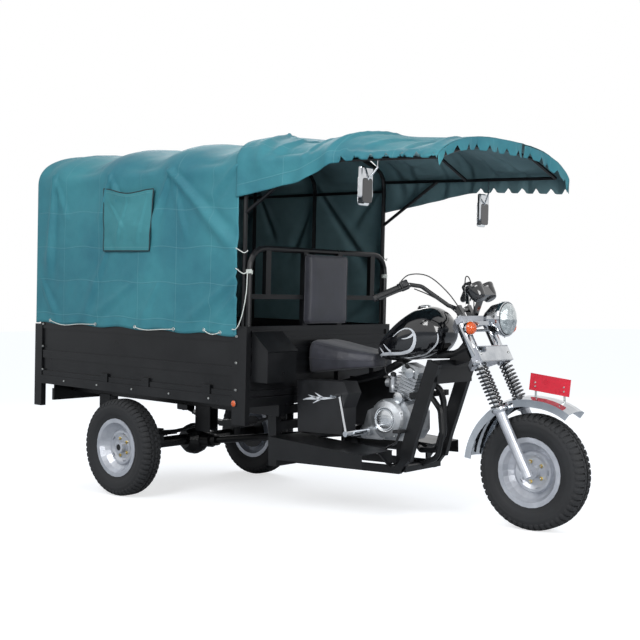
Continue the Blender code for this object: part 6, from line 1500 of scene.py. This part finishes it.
CLUTCH_HUB = (1.610, 0.505)
LEAN = Matrix.Translation((1.665, 0, 0.600)) @ Matrix.Rotation(math.radians(20), 4, "Y")     # the cylinder leans ahead
# Name, place in the vehicle's frame, look, sides, smoothing angle and profile of (radius, height)
ENGINE_TURNINGS = (
    ("clutch_cover_ring", Matrix.Translation((1.610, -0.1392, 0.505)) @ TO_RIGHT, BUFFED, 72, 30,
     ((0.0690, 0.0), (0.0700, 0.0032), (0.0660, 0.0046), (0.0600, 0.0040), (0.0560, 0.0015))),
    ("clutch_cover_dome", Matrix.Translation((1.610, -0.1392, 0.505)) @ TO_RIGHT, BUFFED, 64, 50,
     ((0.0500, 0.0), (0.0490, 0.0035), (0.0400, 0.0060), (0.0200, 0.0072), (0.0040, 0.0075))),
    ("oil_filler_cap", Matrix.Translation((1.655, -0.095, 0.418)) @ TO_RIGHT, CASTING, 32, 30,
     ((0.0160, -0.020), (0.0160, 0.004), (0.0150, 0.006), (0.0070, 0.0065), (0.0060, 0.0120), (0.0040, 0.0130))),
    ("timing_cover", Matrix.Translation((1.668, -0.0930, 0.618)) @ TO_RIGHT, BUFFED, 48, 40,
     ((0.0320, -0.012), (0.0320, 0.006), (0.0300, 0.010), (0.0200, 0.012), (0.0060, 0.0125))),
    ("rocker_cover", LEAN @ Matrix.Translation((0, -0.0562, 0.158)) @ TO_RIGHT, BUFFED, 48, 40,
     ((0.0300, -0.006), (0.0300, 0.006), (0.0270, 0.0095), (0.0100, 0.0105))),
    ("spark_plug_cap", LEAN @ Matrix.Translation((-0.022, -0.0500, 0.178)) @ Matrix.Rotation(math.radians(62), 4, "X"),
     HOSE, 24, 40, ((0.0080, 0.0), (0.0085, 0.010), (0.0110, 0.012), (0.0110, 0.032), (0.0080, 0.036))),
    ("carburettor_bowl", Matrix.Translation((1.588, -0.030, 0.680)) @ Matrix.Rotation(math.pi, 4, "X"), CASTING, 32, 40,
     ((0.0180, 0.0), (0.0200, 0.003), (0.0200, 0.030), (0.0170, 0.034), (0.0060, 0.036))),
    ("carburettor_top", Matrix.Translation((1.588, -0.030, 0.7255)), PLASTIC, 32, 40,
     ((0.0150, 0.0), (0.0160, 0.003), (0.0160, 0.018), (0.0130, 0.021), (0.0050, 0.026))),
    ("dynamo_cover", Matrix.Translation((1.632, 0.1395, 0.505)) @ TO_RIGHT.inverted(), BUFFED, 64, 40,
     ((0.0580, 0.0), (0.0570, 0.004), (0.0450, 0.006), (0.0060, 0.007))))
ENGINE_HOSES = (
    ("plug_lead", 3.5 * MM, ((1.709, -0.072, 0.788), (1.712, -0.094, 0.798), (1.694, -0.112, 0.806),
                             (1.650, -0.098, 0.802), (1.612, -0.056, 0.804))),
    ("fuel_hose", 3.2 * MM, ((1.566, -0.052, 0.822), (1.560, -0.064, 0.792), (1.566, -0.070, 0.756),
                             (1.578, -0.058, 0.726), (1.584, -0.048, 0.712))))


def make_engine():
    """Covers, caps, carburettor ends, cover ribs and screws, the plug's lead and the fuel hose."""
    made = [turned_form(name, profile, look, VEHICLE @ place, sides, angle)
            for name, place, look, sides, angle, profile in ENGINE_TURNINGS]
    x, z = CLUTCH_HUB
    made.append(joined("clutch_cover_ribs", [
        blocked("rib", (x - 0.036, -0.1482, z + dz - 0.0012), (x + 0.036, -0.1440, z + dz + 0.0012), CASTING, VEHICLE,
                0.0008) for dz in (-0.020, -0.007, 0.007, 0.020)]))
    turns = [math.radians(20 + 40 * k) for k in range(9)]
    made.append(bolt_circle("clutch_cover_bolts", [
        vehicle_place(x + 0.1005 * math.cos(turn), -0.1215, z + 0.1005 * math.sin(turn)) for turn in turns],
        0.0055, ZINC))
    made.append(bolt_circle("rocker_cover_nuts", [
        VEHICLE @ LEAN @ Matrix.Translation((dx, -0.0565, dz)) @ TO_RIGHT
        for dx, dz in ((-0.048, 0.166), (0.048, 0.166), (-0.048, 0.146), (0.048, 0.146))], 0.0045, ZINC))
    for name, radius, route in ENGINE_HOSES:
        made.append(tied_cord(name, [tuple(VEHICLE @ Vector(place)) for place in route], radius, HOSE))
    belongs(made, "chassis")


def make_pedals():
    """Brake pedal with its ribbed pad, and the brake rod."""
    arm = tube("brake_pedal_arm", [(1.560, -0.168, 0.352), (1.640, -0.178, 0.356), (1.715, -0.184, 0.392),
                                   (1.742, -0.186, 0.446)], 7.0 * MM, LACQUER, VEHICLE)
    pad = blocked("brake_pedal_pad", (1.722, -0.225, 0.446), (1.766, -0.150, 0.460), HOSE, VEHICLE, 0.004, 3)
    grooves = joined("brake_pedal_ribs", [blocked("rib", (1.722 + 0.0085 * k, -0.222, 0.4595),
                                                  (1.7262 + 0.0085 * k, -0.153, 0.4625),
                                                  HOSE, VEHICLE, 0.0007) for k in range(5)])
    rod = tube("brake_rod", [(1.080, -0.300, 0.330), (1.300, -0.292, 0.332), (1.548, -0.176, 0.348)], 4.0 * MM, ZINC,
               VEHICLE)
    belongs([arm, pad, grooves, rod], "chassis")


# Bed fittings


def bed_side(x, side, z, y=0.626):
    """A place on the bed's side with the piece's own Z turned outwards."""
    turn = TO_RIGHT if side < 0 else ACROSS
    return BED @ Matrix.Translation((x, side * y, z)) @ turn


def make_bed_fittings():
    """Marker lamps, and bolts on the posts and sills."""
    markers, rims, bolts = [], [], []
    for side in (-1, 1):
        place = bed_side(0.952, side, 0.627)
        markers.append(turned_form("marker", ((0.0165, -0.002), (0.0165, 0.004), (0.0140, 0.0075), (0.0080, 0.0095),
                                              (0.0020, 0.0100)), AMBER, place, 40, 60))
        rims.append(turned_form("marker_rim", ((0.0195, -0.003), (0.0195, 0.003), (0.0180, 0.0045), (0.0160, 0.0045)),
                                PLASTIC,
                                place, 40, 30))
        for x in (-0.742, -0.738, 0.962, 0.966):
            for z in (0.70, 0.845, 0.985):
                bolts.append(bed_side(x, side, z))
        for x in (-0.52, -0.20, 0.12, 0.44, 0.76):
            bolts.append(bed_side(x, side, 0.640))
    belongs([joined("marker_lamps", markers)], "chassis")
    belongs([joined("marker_rims", rims), bolt_circle("bed_bolts", bolts, 0.0062, ZINC)], "chassis")


# Lashings

EYELETS = (-0.660, -0.215, 0.145, 0.475, 0.720, 0.845)
ROPE_RADIUS = 2.6 * MM


def rope_line(points):
    """Places of a rope given in the bed's frame."""
    return [tuple(BED @ Vector(p)) for p in points]


def lashed(name, points):
    """A length of lashing rope between two fastenings."""
    piece = tied_cord(name, points, ROPE_RADIUS, ROPE, 10)
    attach(piece, "chassis")


def make_lashings():
    """Zinc eyelets along both hems, and the rope threaded through them."""
    for side, label in SIDES:
        rings = []
        for x in EYELETS:
            hole = tarp_hem(x if side < 0 else -x) + 0.016
            ring = [(x + 0.0085 * math.cos(t * math.pi / 10), side * 0.6338, hole + 0.0085 * math.sin(t * math.pi / 10))
                    for t in range(21)]
            rings.append(tube("eyelet", ring, 2.0 * MM, ZINC, BED))
        eyelets = joined("hem_eyelets_" + label, rings)
        belongs([eyelets], "chassis")
        for k, (start, end) in enumerate(((0, 1), (2, 3), (4, 5))):
            x0, x1 = EYELETS[start], EYELETS[end]
            points = []
            for step in range(9):
                share = step / 8
                slack = 0.018 * math.sin(math.pi * share)
                x = x0 + (x1 - x0) * share
                out = 0.6352 + 0.0060 * math.sin(math.pi * share) ** 0.5
                points.append((x, side * out, tarp_hem(x if side < 0 else -x) + 0.016 - slack))
            lashed(f"hem_rope_{label}_{k + 1}", rope_line(points))


make_engine()
make_pedals()
make_bed_fittings()
make_lashings()

# Number plate on the mudguard, flashes on the side covers

PLATE_MIDDLE = (0.0875, 0.4280)
PLATE_SLOPE = math.radians(7.5)
COVER_FLASHES = (
    ((1.165, 0.600, 0.002), (1.200, 0.606, 0.010), (1.245, 0.611, 0.016), (1.300, 0.612, 0.014), (1.352, 0.615, 0.009),
     (1.398, 0.620, 0.002)),
    ((1.205, 0.627, 0.002), (1.232, 0.620, 0.007), (1.262, 0.614, 0.011)),
    ((1.252, 0.640, 0.002), (1.276, 0.628, 0.008), (1.304, 0.615, 0.012)),
    ((1.236, 0.584, 0.002), (1.262, 0.595, 0.007), (1.290, 0.608, 0.010)))


def make_plate():
    """The bare red plate that stands along the mudguard, with folded edges, on two bent zinc feet."""
    place = WHEEL @ Matrix.Translation((PLATE_MIDDLE[0], 0, PLATE_MIDDLE[1])) @ Matrix.Rotation(PLATE_SLOPE, 4, "Y")
    panel = blocked("red_plate", (-0.1085, -0.0010, -0.0410), (0.1085, 0.0010, 0.0410), RED, place, 0.0006, 1)
    folds_round = joined("red_plate_edges", [
        blocked("edge", (-0.1095, -0.0019, 0.0385), (0.1095, 0.0019, 0.0420), RED, place, 0.0008, 2),
        blocked("edge", (-0.1095, -0.0019, -0.0420), (0.1095, 0.0019, -0.0385), RED, place, 0.0008, 2),
        blocked("edge", (-0.1095, -0.0019, -0.0420), (-0.1060, 0.0019, 0.0420), RED, place, 0.0008, 2),
        blocked("edge", (0.1060, -0.0019, -0.0420), (0.1095, 0.0019, 0.0420), RED, place, 0.0008, 2)])
    belongs([panel, folds_round], "steering")
    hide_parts("front_plate")
    feet, screws = [], []
    for x, top in ((0.010, 0.452), (0.165, 0.432)):
        crown = math.sqrt(0.3655 ** 2 - x ** 2)
        feet.append(blocked("foot", (x - 0.006, 0.0012, crown), (x + 0.006, 0.0032, top), ZINC, WHEEL, 0.0008, 2))
        for z in (top - 0.014, top - 0.034):
            screws.append(WHEEL @ Matrix.Translation((x, -0.0014, z)) @ TO_RIGHT)
            screws.append(WHEEL @ Matrix.Translation((x, 0.0032, z)) @ TO_RIGHT.inverted())
    belongs([joined("plate_feet", feet), bolt_circle("plate_screws", screws, 0.0045, ZINC)], "steering")


def make_cover_flashes():
    """Silver flame-like flashes on both side covers."""
    for side, label in SIDES:
        films = [film_strip("flash", line, side, FILM, lambda x, z, lift: 0.2850 + lift,
                            0.0002) for line in COVER_FLASHES]
        belongs([joined("side_cover_flashes_" + label, films)], "chassis")


make_plate()
make_cover_flashes()


TAIL_LAMP_REAR = -0.8175         # the lamps' rear faces, in the bed's frame
TAIL_LAMP_ACROSS = 0.430
TAIL_LAMP_Z = 0.530


def make_tail_lamps():
    """Ribbed red lenses with amber ends on the two lamps of the tail bar."""
    reds, ambers = [], []
    for side in (-1, 1):
        for name, start, end, look in (("red", -0.060, 0.016, reds), ("amber", 0.019, 0.060, ambers)):
            low, high = sorted((side * (TAIL_LAMP_ACROSS + start), side * (TAIL_LAMP_ACROSS + end)))
            finish = RED_LENS if name == "red" else AMBER
            look.append(blocked(name, (TAIL_LAMP_REAR - 0.0020, low, TAIL_LAMP_Z - 0.0330),
                                (TAIL_LAMP_REAR + 0.0130, high, TAIL_LAMP_Z + 0.0330), finish, BED, 0.0030, 3))
            for k in range(7):
                y = low + (high - low) * (k + 1) / 8
                look.append(blocked("rib", (TAIL_LAMP_REAR - 0.0026, y - 0.0009, TAIL_LAMP_Z - 0.0280),
                                    (TAIL_LAMP_REAR - 0.0010, y + 0.0009, TAIL_LAMP_Z + 0.0280), finish, BED, 0.0004,
                                    1))
    belongs([joined("tail_lamp_red", reds), joined("tail_lamp_amber", ambers)], "chassis")


def make_ties():
    """White cord from the guard loop to the tarpaulin's front edge, and the loose tail that hangs from it."""
    for side, label in SIDES:
        for k, (z, far) in enumerate(((1.440, 1.452), (1.330, 1.345))):
            lashed(f"guard_tie_{label}_{k + 1}", rope_line([
                (1.016, side * 0.6075, z), (1.002, side * 0.6200, z - 0.012), (0.984, side * 0.6290, z - 0.004),
                (0.968, side * 0.6350, far - 0.006), (0.956, side * 0.6370, far)]))
        wrap = [(1.012 + 0.0165 * math.cos(t * math.pi / 8), side * 0.5900 + 0.0165 * math.sin(t * math.pi / 8),
                 1.318 + 0.00034 * t) for t in range(65)]
        belongs([tube("guard_wrap_" + label, wrap, ROPE_RADIUS, ROPE, BED)], "chassis")
    lashed("guard_tail_right", rope_line([
        (1.014, -0.6060, 1.330), (1.022, -0.6160, 1.290), (1.026, -0.6250, 1.220), (1.018, -0.6330, 1.140),
        (1.000, -0.6390, 1.070), (0.972, -0.6410, 1.026), (0.940, -0.6385, 1.022)]))


make_tail_lamps()
make_ties()
